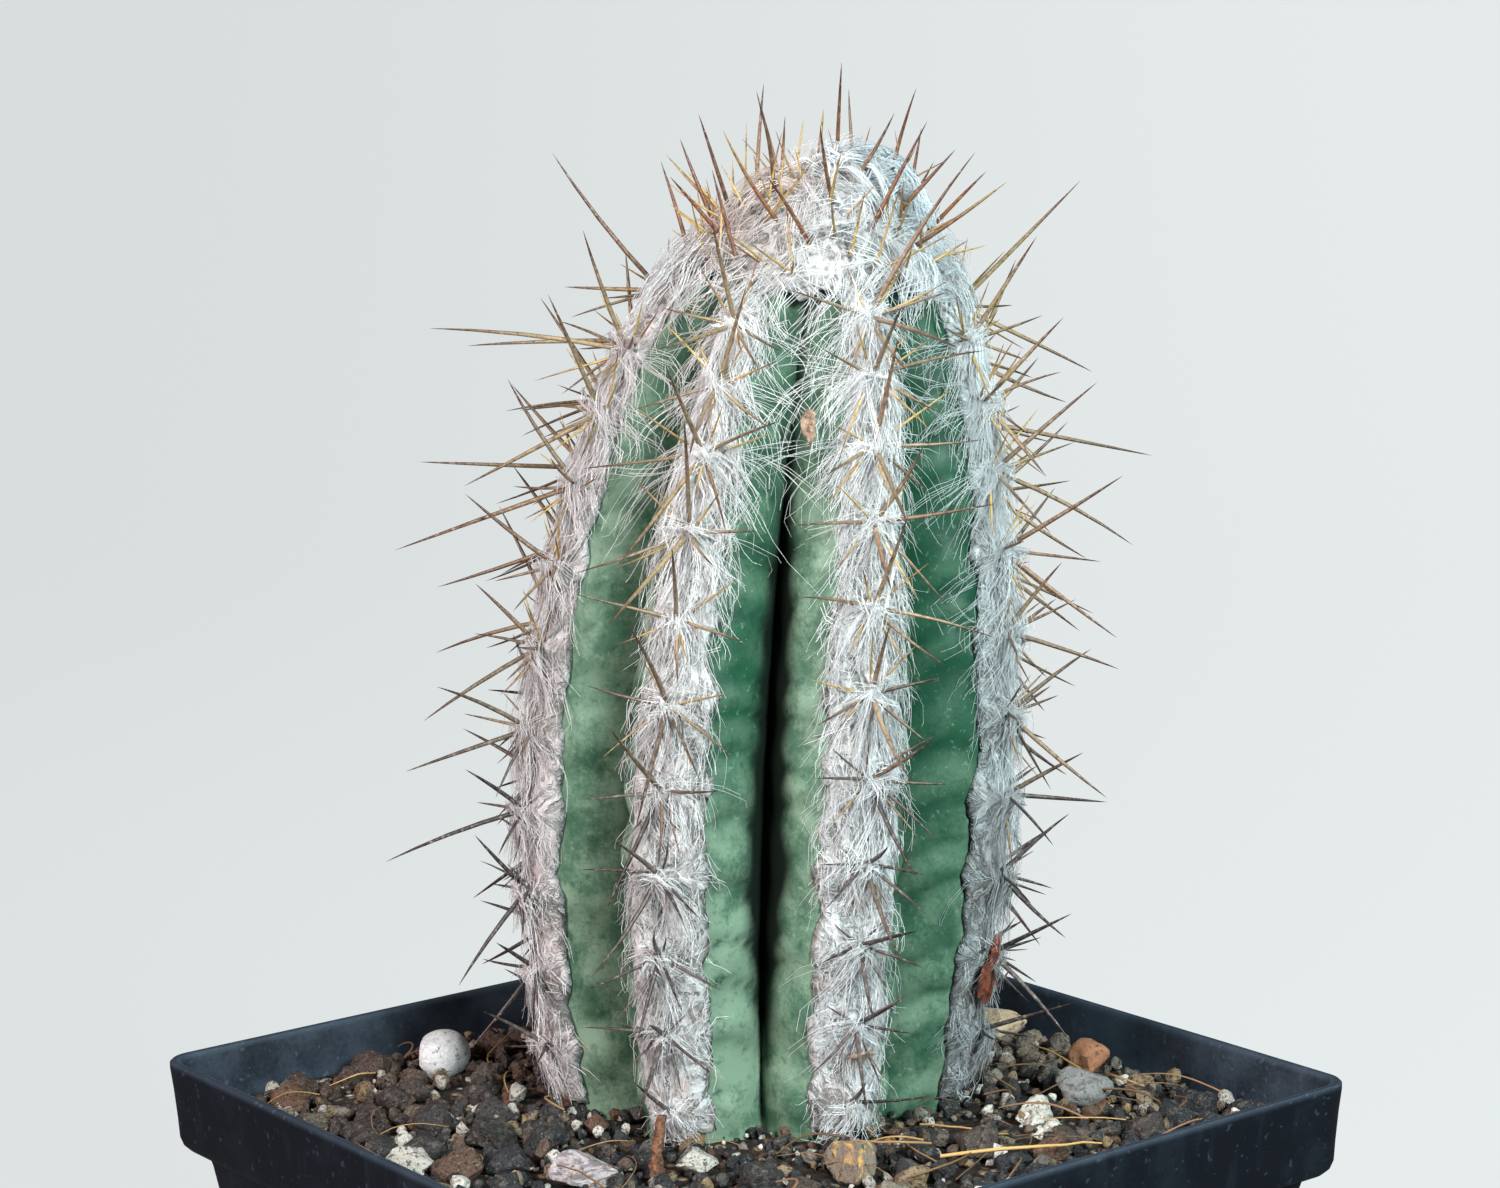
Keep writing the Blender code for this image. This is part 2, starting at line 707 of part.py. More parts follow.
def crown_frame(angle, along):
    """A frame at the depth of the crown's spine roots, as on a stem with no ribs."""
    here, normal, up, side = stem_frame(nearest_crest(angle), along)
    turn = Matrix.Rotation(angle - nearest_crest(angle), 3, "Z")
    lean = LEAN * (max(here.z - STEM_FOOT.z, 0) / LEAN_HEIGHT) ** 2
    axis = Vector((STEM_FOOT.x, STEM_FOOT.y, 0))
    axis += lean * Vector((math.cos(LEAN_ANGLE), math.sin(LEAN_ANGLE), 0))
    normal, up, side = (turn @ way for way in (normal, up, side))
    return turn @ (here - axis) + axis + normal * CROWN_SPINE_ROOT, normal, up, side


def nearest_crest(angle):
    return rib_angle(round((angle - FIRST_RIB_ANGLE) / RIB_PITCH))


def spine(root, tip, name, collection):
    """A three-sided needle from a root to a point."""
    run = tip - root
    shape = bmesh.new()
    bmesh.ops.create_cone(
        shape, cap_ends=True, segments=3, radius1=SPINE_RADIUS, radius2=0, depth=run.length
    )
    bmesh.ops.remove_doubles(shape, verts=shape.verts, dist=0.01 * MM)
    turn = run.to_track_quat("Z", "Y").to_matrix()
    bmesh.ops.rotate(shape, verts=shape.verts, matrix=turn)
    bmesh.ops.translate(shape, verts=shape.verts, vec=(root + tip) / 2)
    return object_from(finished(shape, name), name, collection)


def make_wool_and_spines(plant):
    """A strip of wool over each rib and a cap of it on the apex, each with its spines."""
    wool = surface_material("wool", (0.72, 0.71, 0.69), 0.9)
    plan = spine_plan()
    for rib in range(RIBS):
        sections = [wool_section(rib, along, areole) for along, areole in wool_stations(rib)]
        strip = object_from(loft(sections), f"wool_rib_{rib + 1}", plant, wool)
        add_spines(strip, plan)
    crown = object_from(crown_mesh(), "wool_crown", plant, wool)
    add_spines(crown, plan)


def add_spines(body, plan):
    bundle = new_collection(f"spines_{body.name}")
    for number, (root, tip) in enumerate(plan[body.name]):
        spine(root, tip, f"{body.name}_spine_{number}", bundle)
    apply_boolean(body, bundle, "UNION", solver="MANIFOLD")


def crown_mesh():
    """A cap over the stem's apex: its underside just clear of the ribs, its top swelling in tufts."""
    alongs = [CROWN_START + share * (STEM_TOP - CROWN_START) for share in (0, 0.3, 0.6, 0.85)]
    angles = [FIRST_RIB_ANGLE + side * math.tau / CROWN_SIDES for side in range(CROWN_SIDES)]
    rings = []
    for along in reversed(alongs):
        rings.append([crown_point(angle, along, CROWN_CLEAR) for angle in angles])
    for row, along in enumerate(alongs):
        ring = []
        for side, angle in enumerate(angles):
            tuft = CROWN_TUFT * (-1) ** (side + row)
            thick = CROWN_THICK * (0.75 if row == 0 else 1)
            ring.append(crown_point(angle, along, thick + tuft))
        rings.append(ring)
    return loft(rings, tip=crown_point(0, STEM_TOP - CROWN_TIP, CROWN_THICK + 2 * CROWN_TUFT))


def crown_point(angle, along, lift):
    middle, normal, _, _ = crown_frame(angle, along)
    return middle + normal * (lift - CROWN_SPINE_ROOT)


if __name__ == "__main__":
    main()
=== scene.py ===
"""The finished look of a potted woolly column cactus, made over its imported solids.

Laid out as an add-on and run as a script: each operator makes one piece or group of pieces.
"""

import json
import math
import random

import bmesh
import bpy
import numpy as np
from bpy.props import FloatProperty, FloatVectorProperty, IntProperty, PointerProperty
from mathutils import Matrix, Vector

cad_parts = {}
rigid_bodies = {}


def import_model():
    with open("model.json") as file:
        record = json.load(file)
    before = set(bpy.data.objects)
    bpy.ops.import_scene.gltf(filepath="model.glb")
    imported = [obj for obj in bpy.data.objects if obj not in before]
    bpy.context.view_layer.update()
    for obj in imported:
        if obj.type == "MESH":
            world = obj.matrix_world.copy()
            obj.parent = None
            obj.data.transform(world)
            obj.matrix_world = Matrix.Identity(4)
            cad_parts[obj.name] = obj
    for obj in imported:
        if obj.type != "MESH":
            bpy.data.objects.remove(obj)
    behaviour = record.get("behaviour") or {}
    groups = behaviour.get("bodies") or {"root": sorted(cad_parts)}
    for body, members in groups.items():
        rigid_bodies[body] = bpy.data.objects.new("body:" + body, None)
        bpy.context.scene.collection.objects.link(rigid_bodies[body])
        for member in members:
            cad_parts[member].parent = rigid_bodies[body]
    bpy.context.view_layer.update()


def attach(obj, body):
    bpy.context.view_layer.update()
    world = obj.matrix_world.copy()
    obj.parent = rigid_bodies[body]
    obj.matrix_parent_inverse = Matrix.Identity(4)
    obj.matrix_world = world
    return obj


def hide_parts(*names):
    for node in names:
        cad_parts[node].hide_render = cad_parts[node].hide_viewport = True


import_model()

bl_info = {
    "name": "Potted woolly cactus",
    "version": (1, 0, 0),
    "blender": (4, 5, 0),
    "location": "3D View > Sidebar > Cactus",
    "description": "Makes a ribbed woolly cactus in a square nursery pot of grit",
    "category": "Add Mesh",
}

MM = 0.001
BODY = "root"

# Pot, as in the solids
POT_HEIGHT = 85 * MM
RIM_SIDE = 100 * MM
COLLAR_FOOT_SIDE = 98.6 * MM
BODY_TOP_SIDE = 93.4 * MM
BASE_SIDE = 70 * MM
COLLAR_HEIGHT = 73.4 * MM  # where the collar begins
CORNER_RADIUS = 3.4 * MM
WALL = 1.1 * MM
GAP = 0.35 * MM
DRAIN_HOLES = ((31 * MM, 4.5 * MM, 45), (25 * MM, 3.0 * MM, 0))

# Grit, as in the solids
GRIT_EDGE_LEVEL = 79.4 * MM
GRIT_STEM_LEVEL = 81.4 * MM
GRIT_SEED = 11
GRAIN_COUNT = 92
GRAIN_RADIUS = (1.9 * MM, 3.3 * MM)
GRAIN_SPACING = 0.8
GRAINS_OFF_STEM = 28.6 * MM
GRIT_SLOPE = 52 * MM  # how far from the stem the filling falls away

# Stem, as in the solids
STEM_FOOT = np.array((7.9, 6.3, 81.4)) * MM
LEAN_ANGLE = math.radians(-37.7)
LEAN = 8.2 * MM
LEAN_HEIGHT = 105 * MM
RIBS = 8
FIRST_RIB_ANGLE = math.radians(28.6)
RIB_PITCH = math.tau / RIBS
VEILED = ((4, 1), (5, -1), (5, 1))  # rib and side where long hairs veil the flank below the crown
STEM_PROFILE = (  # height above the grit, radius at a rib's crest, rib depth, in mm
    (-16, 11, 0.4),
    (-9, 20.5, 3),
    (0, 24.3, 6.5),
    (14, 26.8, 8.7),
    (34, 28.5, 9.7),
    (54, 27.4, 9.5),
    (70, 24.8, 8.7),
    (84, 21.1, 7.1),
    (94, 16.3, 5.0),
    (100.5, 11.0, 2.6),
    (104.2, 5.6, 0.8),
    (105.4, 0, 0),
)
LEVEL_HEIGHTS = (10, 50, 90)  # mm along a rib: low, midway and high
# Paleness here is partly waxy bloom and partly painted light on flanks that face the lamps.
FLANK_BLOOM_AND_LIGHT = {  # (rib, side): paleness of the flank low, midway and high, where the photo shows it
    (3, 1): (0.95, 0.65, 0.5),
    (4, -1): (0.85, 0.85, 0.7),
    (4, 1): (1.9, 0.05, 0.45),
    (5, -1): (0.7, 0.95, 0.6),
    (5, 1): (0.5, 0.0, 0.15),
    (6, -1): (0.55, 0.0, 0.05),
}
# The dark set below is painted shade deep in the furrows, where the ribs shade each other.
FURROW_SHADE_FROM = {(4, 1): 0.77, (5, -1): 0.69}  # (rib, side): where across the flank the dark begins
FURROW_SHADE_ELSEWHERE = 0.9
FURROW_SHADE_RISE = ((2, 0.3), (14, 0.12), (30, 0), (65, 0.08), (84, 0.35))  # mm along, how much further in
CREASED = {(3, 1): 0.45, (4, 1): 0.8, (5, -1): 0.3}  # how strongly a flank is creased, else 1
# Partly the wool's own tone, partly painted light and shade for how each rib faces the lamps.
WOOL_SHADE_AND_TONE = {  # rib: its wool's brightness low, midway and high
    3: (0.95, 0.69, 0.74),
    5: (1.04, 0.9, 0.9),
    6: (0.48, 0.73, 0.84),
}
WOOL_SHADE_AND_TONE_ELSEWHERE = (0.95, 0.88, 0.9)
# Painted light: each rib's wool is tinted pinkish on the left and bluish on the right, as the lamps'
# colours fall.
WOOL_LIGHT_TINT = {3: (1.02, 0.94, 0.93), 4: (1.01, 0.98, 0.97), 6: (0.97, 1.0, 1.01)}  # rib: its tint
LEFT_LIGHT_TINT = np.array((0.63, 0.50, 0.455))  # painted light and shade: the crown's wool is darkened and tinted pinkish on the left, bluish right
RIGHT_LIGHT_TINT = np.array((0.66, 0.74, 0.78))
LEFT_MAT_LIGHT_TINT = np.array((1.0, 0.88, 0.82))
RIGHT_MAT_LIGHT_TINT = np.array((0.97, 1.0, 1.02))
RIB_ROUNDNESS = (2.6, 0.8)
BULGE = 0.5 * MM
STEM_POINTS = 18  # across each rib, only in the finished look
STEM_STEP = 0.9 * MM

# Areoles, wool and spines, as in the solids
FIRST_AREOLE = np.array((5.5, 2.6, 6.8, 7.4, 3.6, 4.6, 8.6, 3.2)) * MM
AREOLE_PITCH = 9.4 * MM
CROWN_PITCH = 5.6 * MM
CROWDED_FROM = 62 * MM  # where the areoles begin to close up
CROWDED_OVER = 35 * MM
WOOL_START = 0.7 * MM
WOOL_END = 97 * MM
LAST_AREOLE = WOOL_END - 2 * MM
CROWN_START = 98.2 * MM
CROWN_WOOL = 1.3 * MM
MAT_UNDERSIDE = 0.12 * MM  # heights of the mats' lower faces and thinnest edges over the skin
MAT_EDGE = 0.17 * MM
OLDEST_UNDER = 8 * MM  # the wool and spines below this are the oldest
AGED_OVER = 75 * MM
RIB_SPINES = (
    ("lower", 180, 48, 18.5),
    ("upper", 8, 50, 15.0),
    ("left", 98, 24, 12.5),
    ("right", -98, 24, 12.5),
    ("low_left", 142, 27, 11.5),
)
LONG_SPINES = {  # (rib, areole): turn, rise, length of one that stands in for its upper or lower
    (2, 7): (112, 58, 20),
    (2, 9): (130, 50, 19.5),
    (2, 10): (42, 62, 20.5),
    (3, 3): (-150, 66, 17),
    (3, 4): (-155, 64, 15),
    (3, 6): (-165, 50, 22),
    (3, 7): (-160, 52, 22),
    (3, 9): (-136, 62, 22.5),
    (4, 4): (-164, 20, 15),
    (4, 6): (-149, 18, 16),
    (5, 6): (149, 18, 11.5),
    (5, 10): (34, 33, 21.5),
    (6, 3): (98, 70, 11.5),
    (6, 5): (145, 65, 13.5),
    (6, 6): (168, 47, 16.5),
    (6, 9): (155, 50, 16),
    (7, 8): (-123, 54, 20.5),
    (7, 10): (-36, 58, 20.5),
}
THIN_SPINES = (  # turn, rise, length: only in the finished look
    (62, 20, 9.5),
    (-62, 20, 9.5),
    (-140, 22, 10.5),
    (28, 26, 8.5),
    (-30, 26, 8.0),
    (160, 30, 9.0),
)
SPINE_SWAY = 26
SPINE_LIFT = (-14, 16)
SPINE_STRETCH = (0.72, 1.2)
SPINE_VIGOUR = ((34 * MM, 0.66), (66 * MM, 1), (98 * MM, 0.8))
SPINE_ROOT = 1.5 * MM
CROWN_SPINES = 26
THIN_CROWN_SPINES = 64
CROWN_SPINE_ROOT = 1.8 * MM
CROWN_SPINE_LENGTH = (9 * MM, 14.5 * MM)
CROWN_SPREAD = 0.55
SPINE_SEED = 5
SPINE_CLEARANCE = 1.25 * MM
TIP_OVER_GRIT = 5.5 * MM
TIP_OVER_RIM = 2.5 * MM
TRIES = 14
SPINE_TAPER = (  # share of the way to the tip, share of the girth
    (0, 1.12),
    (0.06, 1.0),
    (0.3, 0.92),
    (0.55, 0.78),
    (0.78, 0.52),
    (0.93, 0.24),
    (1.0, 0.03),
)
STIFF = {"Sides": 5, "Fan": 0.0, "Shortest": 1.0}  # strands that aren't hair

# Locks: lines, copies of each, points, heading in degrees from down the rib, length and lowest
# and highest peak in mm, room between copies, share of the hair width
LOCKS = (
    (10, 7, 5, (2, 45), (6.0, 11.5), (0.1, 0.8), 1.4, 0.75),
    (6, 5, 6, (25, 85), (7.0, 12.0), (0.3, 1.3), 1.6, 0.55),
    (7, 6, 6, (0, 26), (9.0, 15.0), (0.3, 1.2), 1.5, 0.7),
    (9, 6, 4, (0, 180), (1.5, 4.5), (0.6, 1.9), 1.1, 0.7),
    (3, 2, 7, (30, 120), (9, 16), (0.5, 2.2), 1.2, 0.5),
)
WEBS = ((8, 4, 8, (72, 100), (9, 17), (0.1, 0.8), 1.8, 0.55),)  # across the furrow, near the crown
CROWN_LOCKS = (  # lines, copies, points, length, peak, how far down, turn, room, width
    (190, 6, 5, (3.0, 8.0), (0.2, 1.4), 1.0, 65, 1.2, 0.75),
    (225, 4, 5, (4.0, 10.0), (0.5, 2.4), 1.0, 65, 1.6, 0.65),
    (28, 14, 7, (8.0, 13.0), (0.7, 2.0), 0.25, 22, 1.4, 0.9),
)

STONES = {  # place, half sizes in mm, turn
    "pebble_white": ((-17.5, 38.0), (3.6, 3.1, 2.9), 20),
    "stone_ochre": ((-5.0, -26.5), (3.6, 3.0, 2.9), 65),
    "stone_tan": ((40.5, 1.5), (4.6, 2.9, 2.3), -30),
    "stone_grey": ((33.0, -22.5), (3.6, 3.1, 2.4), 10),
    "stone_striped": ((-29.5, -8.5), (3.9, 2.7, 2.2), -50),
    "stone_russet": ((42.0, -14.0), (3.0, 2.4, 2.0), 40),
}
STONE_RISE = 0.45
STONE_FINISHES = {  # ground, vein, size of the veins in mm, share of the ground, stripes
    "pebble_white": ((0.66, 0.66, 0.67), (0.50, 0.51, 0.53), 3, 0.55),
    "stone_ochre": ((0.19, 0.155, 0.12), (0.62, 0.36, 0.10), 2.6, 0.5),
    "stone_tan": ((0.46, 0.34, 0.22), (0.60, 0.50, 0.38), 2.2, 0.5),
    "stone_grey": ((0.24, 0.24, 0.235), (0.10, 0.105, 0.10), 1.8, 0.5),
    "stone_striped": ((0.46, 0.42, 0.43), (0.20, 0.17, 0.18), 1.6, 0.46, 0.35),
    "stone_russet": ((0.40, 0.17, 0.085), (0.16, 0.10, 0.085), 2.0, 0.55),
}
TWIG_PLACE = (-23.6 * MM, -13.6 * MM)
TWIG_LENGTH = 11 * MM
TWIG_RADIUS = 0.75 * MM
TWIG_DEPTH = 4 * MM
TWIG_LEAN = math.radians(9)
TWIG_STATIONS = ((0, 0.9, 0), (0.3, 1, 0.2), (0.62, 0.86, -0.25), (1, 0.72, 0.1))

# The view of the photograph, fitted to the pot's rim
CAMERA_PLACE = Vector((-236.9, -309.5, 205.1)) * MM
CAMERA_TURN = math.radians(37.695)
CAMERA_PITCH = math.radians(9.293)
CAMERA_ROLL = math.radians(1.0854)
CAMERA_LENS = 82.76
VIEW_RIGHT = np.array((math.cos(CAMERA_TURN), -math.sin(CAMERA_TURN), 0))
VIEW_TURN = Matrix.Rotation(-CAMERA_TURN, 3, "Z")
LAMPS = (  # name, direction seen from the camera (right, ahead, up), distance, size, power, colour
    ("left_window", (-0.75, -0.65, 0.5), 0.7, 0.22, 6.2, (1.0, 0.87, 0.86)),
    ("right_window", (0.45, -0.8, 0.5), 0.7, 0.22, 9.0, (0.86, 1.0, 1.0)),
    ("right_rim", (1.0, 0.3, 0.5), 0.75, 0.3, 1.3, (0.75, 1.0, 1.0)),
)

# Dry remnants in the wool: rib, along, place across, size in mm, finish
REMNANTS = (
    (6, 15.5, -0.20, (1.5, 2.8, 0.6), 0),
    (6, 18.5, -0.08, (1.3, 2.2, 0.6), 0),
    (5, 80.5, -0.62, (0.9, 1.9, 0.5), 1),
    (5, 10.6, 0.05, (1.7, 0.45, 0.4), 1),
)


# Sizes and colours that a user would change


def colour_property(name, description, default):
    return FloatVectorProperty(
        name=name, description=description, default=default, subtype="COLOR", min=0, max=1
    )


def length_property(name, description, default):
    return FloatProperty(name=name, description=description, default=default, unit="LENGTH")


class CactusPot(bpy.types.PropertyGroup):
    plastic: colour_property("Plastic", "Colour of the moulded plastic", (0.005, 0.0065, 0.010))
    # Also paints the highlight along the rim's lip.
    dust: colour_property("Dust", "Colour of the dust dried on the plastic", (0.04, 0.06, 0.088))
    edge_rounding: length_property("Edge rounding", "Radius of the rim's lip", 0.45 * MM)


class CactusGrit(bpy.types.PropertyGroup):
    earth: colour_property("Earth", "Colour between the grains", (0.022, 0.016, 0.012))
    middling: IntProperty(
        name="Middling grains", description="Grains of 1.5 to 3.6 mm", default=1200, min=0
    )
    fine: IntProperty(
        name="Fine grains", description="Grains of 0.8 to 2.2 mm", default=2300, min=0
    )


class CactusStem(bpy.types.PropertyGroup):
    skin: colour_property("Skin", "Colour of the ribs' flanks", (0.0105, 0.070, 0.037))
    # Also laid as painted light, on lamp-facing flanks and on the tops of the bulges.
    bloom: colour_property("Bloom", "Colour of the pale waxy patches", (0.19, 0.29, 0.205))
    # Painted shade: the colour laid deep in the furrows.
    furrow: colour_property("Furrow", "Colour deep between the ribs", (0.0015, 0.006, 0.003))
    wrinkle: length_property("Wrinkle", "Height of the creases across the flanks", 0.32 * MM)


class CactusWool(bpy.types.PropertyGroup):
    young: colour_property("Young wool", "Colour near the crown", (0.88, 0.90, 0.91))
    old: colour_property("Old wool", "Colour near the grit", (0.71, 0.735, 0.755))
    width: length_property("Hair width", "Width of one hair", 0.11 * MM)
    frizz: FloatProperty(
        name="Frizz", description="How far a hair strays, as a share of its lock's room", default=0.9
    )


class CactusSpines(bpy.types.PropertyGroup):
    golden: colour_property("Golden", "Colour of thin young spines", (0.52, 0.36, 0.12))
    tan: colour_property("Tan", "Colour of a main spine's shaft", (0.27, 0.20, 0.135))
    russet: colour_property("Russet", "Colour of the crown's spines", (0.24, 0.085, 0.03))
    tip: colour_property("Tip", "Colour of the tips", (0.06, 0.022, 0.018))
    girth: length_property("Girth", "Radius of a main spine at its root", 0.31 * MM)


class CactusStage(bpy.types.PropertyGroup):
    floor: colour_property("Floor", "Colour of the floor and backdrop", (0.84, 0.88, 0.885))
    glow: FloatProperty(
        name="Glow", description="Light that evens out the floor and backdrop", default=0.8, min=0
    )


# Node trees


class Wire:
    """An output socket that takes part in arithmetic: each operator adds a Math node."""

    def __init__(self, bench, socket):
        self.bench = bench
        self.socket = socket

    def __add__(self, other):
        return self.bench.maths("ADD", self, other)

    def __sub__(self, other):
        return self.bench.maths("SUBTRACT", self, other)

    def __rsub__(self, other):
        return self.bench.maths("SUBTRACT", other, self)

    def __mul__(self, other):
        return self.bench.maths("MULTIPLY", self, other)

    def __truediv__(self, other):
        return self.bench.maths("DIVIDE", self, other)

    def __rtruediv__(self, other):
        return self.bench.maths("DIVIDE", other, self)

    def __pow__(self, other):
        return self.bench.maths("POWER", self, other)

    __radd__ = __add__
    __rmul__ = __mul__


class Bench:
    """Adds nodes to one shader or geometry tree."""

    def __init__(self, tree):
        self.tree = tree

    def add(self, kind, settings=None, inputs=None, output=0):
        """A node of a kind, its settings made first, then its sockets' values or links."""
        node = self.tree.nodes.new(kind)
        for name, value in (settings or {}).items():
            if name == "stops":
                self.set_stops(node.color_ramp, value)
            else:
                setattr(node, name, value)
        for key, value in (inputs or {}).items():
            socket = node.inputs[key]
            if isinstance(value, Wire):
                self.tree.links.new(value.socket, socket)
            else:
                socket.default_value = value
        return Wire(self, node.outputs[output])

    def set_stops(self, ramp, stops):
        while len(ramp.elements) < len(stops):
            ramp.elements.new(0.5)
        for element, (place, colour) in zip(ramp.elements, stops):
            element.position = place
            element.color = (*colour, 1)

    def maths(self, operation, *values):
        return self.add("ShaderNodeMath", {"operation": operation}, dict(enumerate(values)))

    def vectors(self, operation, *values):
        return self.add("ShaderNodeVectorMath", {"operation": operation}, dict(enumerate(values)))

    def stretched(self, vector, amount):
        inputs = {0: vector, "Scale": amount}
        return self.add("ShaderNodeVectorMath", {"operation": "SCALE"}, inputs)

    def clamped(self, value):
        return self.add("ShaderNodeClamp", inputs={0: value})

    def ramped(self, value, low, high, start=0.0, end=1.0):
        """A value's run from low to high, made a smooth run from start to end."""
        inputs = {0: value, 1: low, 2: high, 3: start, 4: end}
        return self.add("ShaderNodeMapRange", {"interpolation_type": "SMOOTHSTEP"}, inputs)

    def mixed(self, share, first, second, blend="MIX"):
        first, second = (
            (*colour[:3], 1) if not isinstance(colour, Wire) else colour
            for colour in (first, second)
        )
        settings = {"data_type": "RGBA", "blend_type": blend}
        return self.add("ShaderNodeMix", settings, {0: share, 6: first, 7: second}, output=2)

    def layered(self, ground, *coats):
        """A ground colour under coats of (share, colour), laid one after the other."""
        for share, colour in coats:
            ground = self.mixed(share, ground, colour)
        return ground

    def toned(self, tone):
        """The colour of the stone at a place among the kinds of grain."""
        return self.add("ShaderNodeValToRGB", {"stops": GRAIN_TONES}, {0: tone})

    def place(self):
        return self.add("ShaderNodeTexCoord", output=3)

    def axis(self, number, vector=None):
        return self.add("ShaderNodeSeparateXYZ", inputs={0: vector or self.place()}, output=number)

    def attribute(self, name, output=2):
        return self.add("ShaderNodeAttribute", {"attribute_name": name}, output=output)

    def noise(self, size, detail, roughness, vector=None, distortion=0.0):
        """Noise whose features are about size mm across."""
        inputs = {
            "Vector": vector or self.place(),
            "Scale": 1 / (size * MM),
            "Detail": detail,
            "Roughness": roughness,
            "Distortion": distortion,
        }
        return self.add("ShaderNodeTexNoise", inputs=inputs)

    def bump(self, height, distance, strength=1.0):
        """A relief whose heights of 0 and 1 are distance mm apart."""
        inputs = {"Height": height, "Distance": distance * MM, "Strength": strength}
        return self.add("ShaderNodeBump", inputs=inputs)

    def grow(self, kind, settings=None, inputs=None):
        return self.add(f"GeometryNode{kind}", settings, inputs)

    def stored(self, name):
        return self.grow("InputNamedAttribute", {"data_type": "FLOAT"}, {"Name": name})

    def labelled(self, geometry, name, value):
        settings = {"data_type": "FLOAT", "domain": "POINT"}
        inputs = {"Geometry": geometry, "Name": name, "Value": value}
        return self.grow("StoreNamedAttribute", settings, inputs)

    def chance(self, seed, low, high, **more):
        """A random number between low and high, or a random vector where they are vectors."""
        if isinstance(low, tuple):
            kind, first, output = "FLOAT_VECTOR", 0, 0
        else:
            kind, first, output = "FLOAT", 2, 1
        inputs = {first: low, first + 1: high, "Seed": seed, **more}
        return self.add("FunctionNodeRandomValue", {"data_type": kind}, inputs, output)


class Finish(Bench):
    """A Principled material: plain values on its own sockets, and what varies linked to them."""

    def __init__(self, name, **values):
        self.material = bpy.data.materials.new(name)
        self.material.use_nodes = True
        super().__init__(self.material.node_tree)
        self.shader = self.tree.nodes["Principled BSDF"]
        for label, value in values.items():
            self.shader.inputs[label.replace("_", " ")].default_value = value

    def made(self, **wires):
        for label, wire in wires.items():
            self.tree.links.new(wire.socket, self.shader.inputs[label.replace("_", " ")])
        return self.material


def plastic_material(look):
    """Black plastic, dust in patches and runs and most of all inside, with a painted highlight along
    its lip.
    """
    bench = Finish("pot_plastic_worn", Specular_IOR_Level=0.3)
    place = bench.place()
    cloud = bench.noise(9, 4, 0.65)
    fine = bench.noise(0.5, 2, 0.7)
    runs = bench.noise(2.2, 3, 0.6, bench.vectors("MULTIPLY", place, (1, 1, 0.22)))
    specks = bench.ramped(bench.noise(0.9, 1, 0.5), 0.66, 0.74)
    dust_and_lip_highlight = bench.ramped(cloud, 0.45, 0.75) * 0.16 + bench.ramped(runs, 0.52, 0.78) * 0.12
    settled = bench.ramped(cloud + fine * 0.3, 0.35, 0.8) * 0.4 + 0.08
    dust_and_lip_highlight = dust_and_lip_highlight + bench.attribute("inside") * settled
    # Painted highlight along the top of the rim's lip, laid in the dust colour.
    lip = bench.ramped(bench.axis(2, place), POT_HEIGHT - 0.9 * MM, POT_HEIGHT - 0.1 * MM)
    dust_and_lip_highlight = bench.clamped(dust_and_lip_highlight + specks * 0.4 + lip * 0.4)
    return bench.made(
        Base_Color=bench.mixed(dust_and_lip_highlight, look.plastic, look.dust),
        Roughness=bench.ramped(dust_and_lip_highlight, 0.0, 0.8, 0.36, 0.68),
        Normal=bench.bump(bench.noise(1.4, 3, 0.6) + fine * 0.5, 0.05, 0.5),
    )


def skin_material(look):
    """Green skin under a waxy bloom, with painted light on flanks that face the lamps, painted shade in
    its creases and along the wool's edge, and black painted shade deep in the furrows.
    """
    bench = Finish("stem_skin_waxy", Specular_IOR_Level=0.2)
    cloud = bench.noise(5, 4, 0.6)
    grain = bench.noise(0.45, 3, 0.75)
    pale = bench.ramped(cloud + grain * 0.35, 0.5, 0.85)
    edge = bench.ramped(bench.attribute("flank"), 0.25, 0.6, 1.0, 0.0)
    # The bloom's share carries painted light on the flanks that face the lamps.
    pale = bench.clamped((pale * 0.9 + edge * 0.4 + 0.25) * bench.attribute("bloomed"))
    specks = bench.ramped(bench.noise(0.8, 2, 0.6), 0.62, 0.72) * 0.25
    # Darker mottling, with painted shade in the creases across the flanks and along the wool's edge.
    dark = bench.ramped(bench.noise(1.6, 3, 0.6), 0.30, 0.46, 1.0, 0.0)
    dark = bench.clamped(dark * 0.4 + bench.attribute("crease") * 0.75)
    # Painted shade: black deep in the furrows, past where the furrow attribute starts.
    deep = bench.ramped(bench.attribute("furrow") + cloud * 0.06, -0.13, 0.1)
    deep = deep * deep
    return bench.made(
        Base_Color=bench.layered(
            look.skin,
            (pale, look.bloom),
            (specks, (0.30, 0.42, 0.33)),
            (dark, (0.008, 0.042, 0.022)),
            (deep, look.furrow),
        ),
        Roughness=bench.clamped(bench.ramped(grain, 0.3, 0.7, 0.42, 0.62) + deep),
        Normal=bench.bump(grain + cloud * 1.5, 0.09, 0.6),
    )


def hair_material(name):
    """Hair whose colour comes from its lock, a little lighter or darker hair by hair."""
    bench = Finish(name, Roughness=0.5, Specular_IOR_Level=0.3)
    colour = bench.attribute("lock_colour", output=0)
    darker = bench.mixed(0.45, colour, (0.45, 0.43, 0.42), "MULTIPLY")
    tone = bench.ramped(bench.attribute("tone"), 0.0, 0.5)
    return bench.made(Base_Color=bench.mixed(tone, darker, colour))


